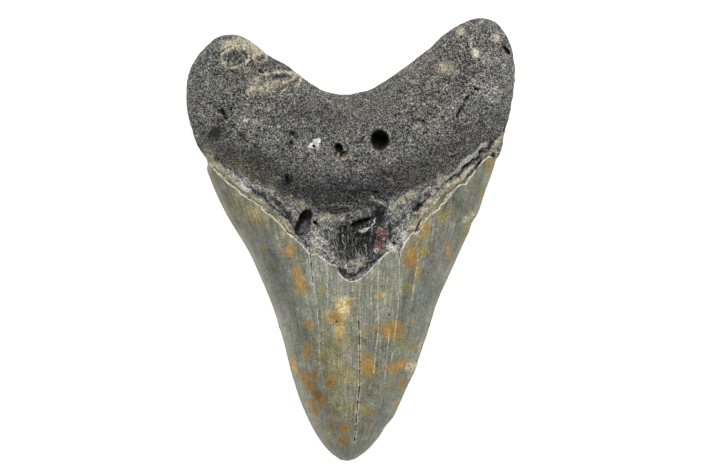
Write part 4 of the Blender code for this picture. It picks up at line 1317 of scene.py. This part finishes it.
def crusted(g, base):
    """Dark patches, partly painted shade, red-brown lumps mottled with painted highlights, cream
    patches, and whitish patches, partly painted highlights, over any zone.
    """
    # Dark marks, partly painted shade.
    base = g.mix(g.mark("soot", 0.9, 0.92), base, g.speckled(SOOT_AND_SHADE, g.granular, SOOT_AND_SHADE_GRAIN))
    # The red-brown lumps are mottled with painted highlights.
    brick = g.mix(g.ease(g.granular, 0.48, 0.62), BRICK, BRICK_HIGHLIGHT)
    base = g.mix(g.mark("brick", 0.7, 0.85), base, g.speckled(brick, g.clods, 4.0))
    grains = g.ease(g.granular, 0.36, 0.54, 0.45, 1.0)
    cream = g.speckled(g.speckled(CREAM, g.granular, *CREAM_GRAIN), g.clods, *CREAM_GRAIN)
    patchy = g.times(grains, g.ease(g.noise(g.here, 0.7, 3.0, 0.6), 0.36, 0.5, 0.4, 1.0))
    patchy = g.maths("MAXIMUM", patchy, g.ease(g.surface("cream"), 1.0, 1.5, 0.0, 0.9))
    base = g.mix(g.times(g.mark("cream", 1.0, 1.0), patchy), base, cream)
    # Whitish marks, partly painted highlights.
    frost = g.speckled(FROST_AND_HIGHLIGHT, g.granular, *FROST_AND_HIGHLIGHT_GRAIN)
    return g.mix(g.times(g.mark("frost", 1.0, 0.85), grains), base, frost)


def cracked(g, base, on_enamel):
    """The painted highlight along the enamel's edge, and its cracks, the open ones painted with shade.
    """
    broken = g.ease(g.noise(g.here, 0.6, 3.0), 0.35, 0.55, 0.3, 0.95)
    healed = g.times(g.ease(g.surface("healed_crack"), *HEALED_LINE), broken)
    base = g.mix(g.times(healed, on_enamel), base, CRACK_CREAM)
    # A painted highlight where the enamel's raised edge faces the light.
    lip_highlight = g.ease(g.maths("ABSOLUTE", g.maths("ADD", g.surface("past_enamel"), 0.08)), *LIP_HIGHLIGHT_LINE)
    lip_highlight = g.times(lip_highlight, g.ease(g.noise(g.here, 0.9, 3.0), 0.36, 0.56, 0.35, 0.95))
    base = g.mix(lip_highlight, base, ENAMEL_LIP_HIGHLIGHT)
    gap = g.surface("open_crack")
    along_crack = g.ease(g.noise(g.here, 0.8, 2.0), 0.42, 0.58, 0.1, 0.6)
    base = g.mix(g.times(g.ease(gap, *CRACK_RIM), along_crack), base, CRACK_CREAM)
    # Open cracks are painted with shade along their middles.
    return g.mix(g.ease(gap, *CRACK_LINE), base, HOLE_SHADE)


def pitted(g, base):
    """Painted shade inside the pits, painted light where the light reaches the two largest, and the
    sediment in some of them.
    """
    # Painted shade inside the pits.
    inside = g.mix(g.ease(g.grain, 0.45, 0.7), HOLE_SHADE, HOLE_SHADE_GREY)
    base = g.mix(g.surface("pit"), base, inside)
    # Painted light where the light reaches the two largest pits.
    base = g.mix(g.surface("bore_floor"), base, g.speckled(LIT_BORE_GREY, g.grain, 3.0))
    return g.mix(g.times(g.surface("bed"), 0.85), base, g.speckled(SEDIMENT, g.granular, 5.0))


def fossil_finish():
    """The whole tooth's material, its zones told apart by what is kept on the surface."""
    material, shader = fresh_material("fossil")
    shader.inputs["Specular IOR Level"].default_value = FOSSIL_GLOSS
    g = Finish(material)
    past_enamel = g.surface("past_enamel")
    blurred = g.maths("MULTIPLY_ADD", g.ragged, 3.0, g.surface("past_root"))
    base = g.mix(g.ease(blurred, -1.5, 0.5), neck_look(g), root_look(g))
    on_enamel = g.ease(past_enamel, 0.08, -0.08)
    base = g.mix(on_enamel, base, enamel_look(g))
    # Tone brightens and darkens the whole, painting on light and shade.
    base = g.speckled(base, g.maths("ADD", g.surface("tone"), 0.5), 1.0)
    base = pitted(g, crusted(g, cracked(g, base, on_enamel)))
    g.feed(shader.inputs["Base Color"], base)

    rough_root = g.ease(g.granular, 0.35, 0.65, 0.8, 0.5)
    rough_enamel = g.ease(g.streak, 0.35, 0.65, 0.5, 0.36)
    g.feed(shader.inputs["Roughness"], g.mix(on_enamel, rough_root, rough_enamel, "FLOAT"))
    root_height = g.times(g.granular, g.ease(past_enamel, -0.1, 0.3))
    enamel_height = g.times(g.times(g.thread, 0.1), on_enamel)
    height = g.maths("ADD", root_height, enamel_height)
    bump = g.add("ShaderNodeBump", {
        "Height": height, "Distance": FOSSIL_BUMP, "Strength": FOSSIL_BUMP_STRENGTH})
    g.feed(shader.inputs["Normal"], bump)
    return material


def sediment_finish():
    material, shader = fresh_material("sediment")
    g = Tree(material.node_tree)
    here = g.vector("SCALE", g.add("ShaderNodeTexCoord").outputs["Object"], 1 / MM)
    colour = g.mix(g.noise(here, 0.4, 1.0), SEDIMENT_BROWN, SEDIMENT_PALE)
    g.feed(shader.inputs["Base Color"], colour)
    shader.inputs["Roughness"].default_value = SEDIMENT_ROUGHNESS
    bump = g.add("ShaderNodeBump", {"Height": g.noise(here, 6.0, 2.0), "Distance": SEDIMENT_BUMP})
    g.feed(shader.inputs["Normal"], bump)
    return material


# The tooth and its lodged grains

def dressed_tooth():
    fossil = fossil_finish()
    mesh = carved_mesh(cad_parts["tooth"])
    for name, sizes, shape in (("root_grain", ROOT_GRAIN, root_grain),
                               ("neck_striae", NECK_STRIAE, neck_striae),
                               ("enamel_striae", ENAMEL_STRIAE, enamel_striae),
                               ("worn_edge", WORN_EDGE, worn_edge)):
        mesh = grown(mesh, name, sizes, shape, fossil)
    crumbs = grown(mesh, "lodged_grains", LODGED_GRAINS, lodged_grains, sediment_finish())
    mesh.shade_smooth()
    tooth = placed(mesh, "fossil_tooth")
    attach(tooth, "root")
    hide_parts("tooth")
    grains = placed(crumbs, "lodged_grains")
    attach(grains, "root")


# Floor, light and camera

FLOOR_HALF_SIZE = 4.0
FLOOR_HEIGHT = -0.00002
WHITE = (1.0, 1.0, 1.0, 1.0)
FLOOR_FINISH = {"Base Color": (0.8, 0.8, 0.8, 1.0), "Emission Color": WHITE,
                "Emission Strength": 0.7, "Roughness": 0.9, "Specular IOR Level": 0.1}
SKY_STRENGTH = 0.33
# Each lamp's place, size and power.
LAMPS = {"key": ((0.2, 0.95, 1.35), 0.7, 24.0), "fill": ((-0.9, 0.1, 1.2), 1.2, 5.0)}
# In metres, and the sensor in millimetres. The picture is framed at the outline's height.
CAMERA_DISTANCE = 6.0
OUTLINE_HEIGHT = 0.005
SENSOR_WIDTH = 36.0


def pale_floor():
    data = bpy.data.meshes.new("floor")
    corners = [(x * FLOOR_HALF_SIZE, y * FLOOR_HALF_SIZE, FLOOR_HEIGHT)
               for x, y in ((-1, -1), (1, -1), (1, 1), (-1, 1))]
    data.from_pydata(corners, [], [(0, 1, 2, 3)])
    floor = placed(data, "floor")
    material, shader = fresh_material("pale_floor")
    for label, value in FLOOR_FINISH.items():
        shader.inputs[label].default_value = value
    data.materials.append(material)


def studio_light():
    world = bpy.data.worlds.new("pale_studio")
    world.use_nodes = True
    background = world.node_tree.nodes["Background"]
    background.inputs["Color"].default_value = WHITE
    background.inputs["Strength"].default_value = SKY_STRENGTH
    bpy.context.scene.world = world
    for name, (place, size, power) in LAMPS.items():
        data = bpy.data.lights.new(name, "AREA")
        data.size = size
        data.energy = power
        lamp = placed(data, name)
        lamp.location = place
        lamp.rotation_euler = (-Vector(place)).to_track_quat("-Z", "Y").to_euler()


def photo_camera():
    """Straight above the tooth, framing it as the photograph does."""
    data = bpy.data.cameras.new("camera")
    data.sensor_width = SENSOR_WIDTH
    data.lens = SENSOR_WIDTH * CAMERA_DISTANCE / (PHOTO_SIZE[0] * PIXEL * MM)
    camera = placed(data, "camera")
    x, y = on_tooth(np.array(PHOTO_SIZE) / 2) * MM
    camera.location = (x, y, CAMERA_DISTANCE + OUTLINE_HEIGHT)
    bpy.context.scene.camera = camera


photo_camera()
dressed_tooth()
pale_floor()
studio_light()
bpy.context.scene.view_settings.view_transform = "Standard"
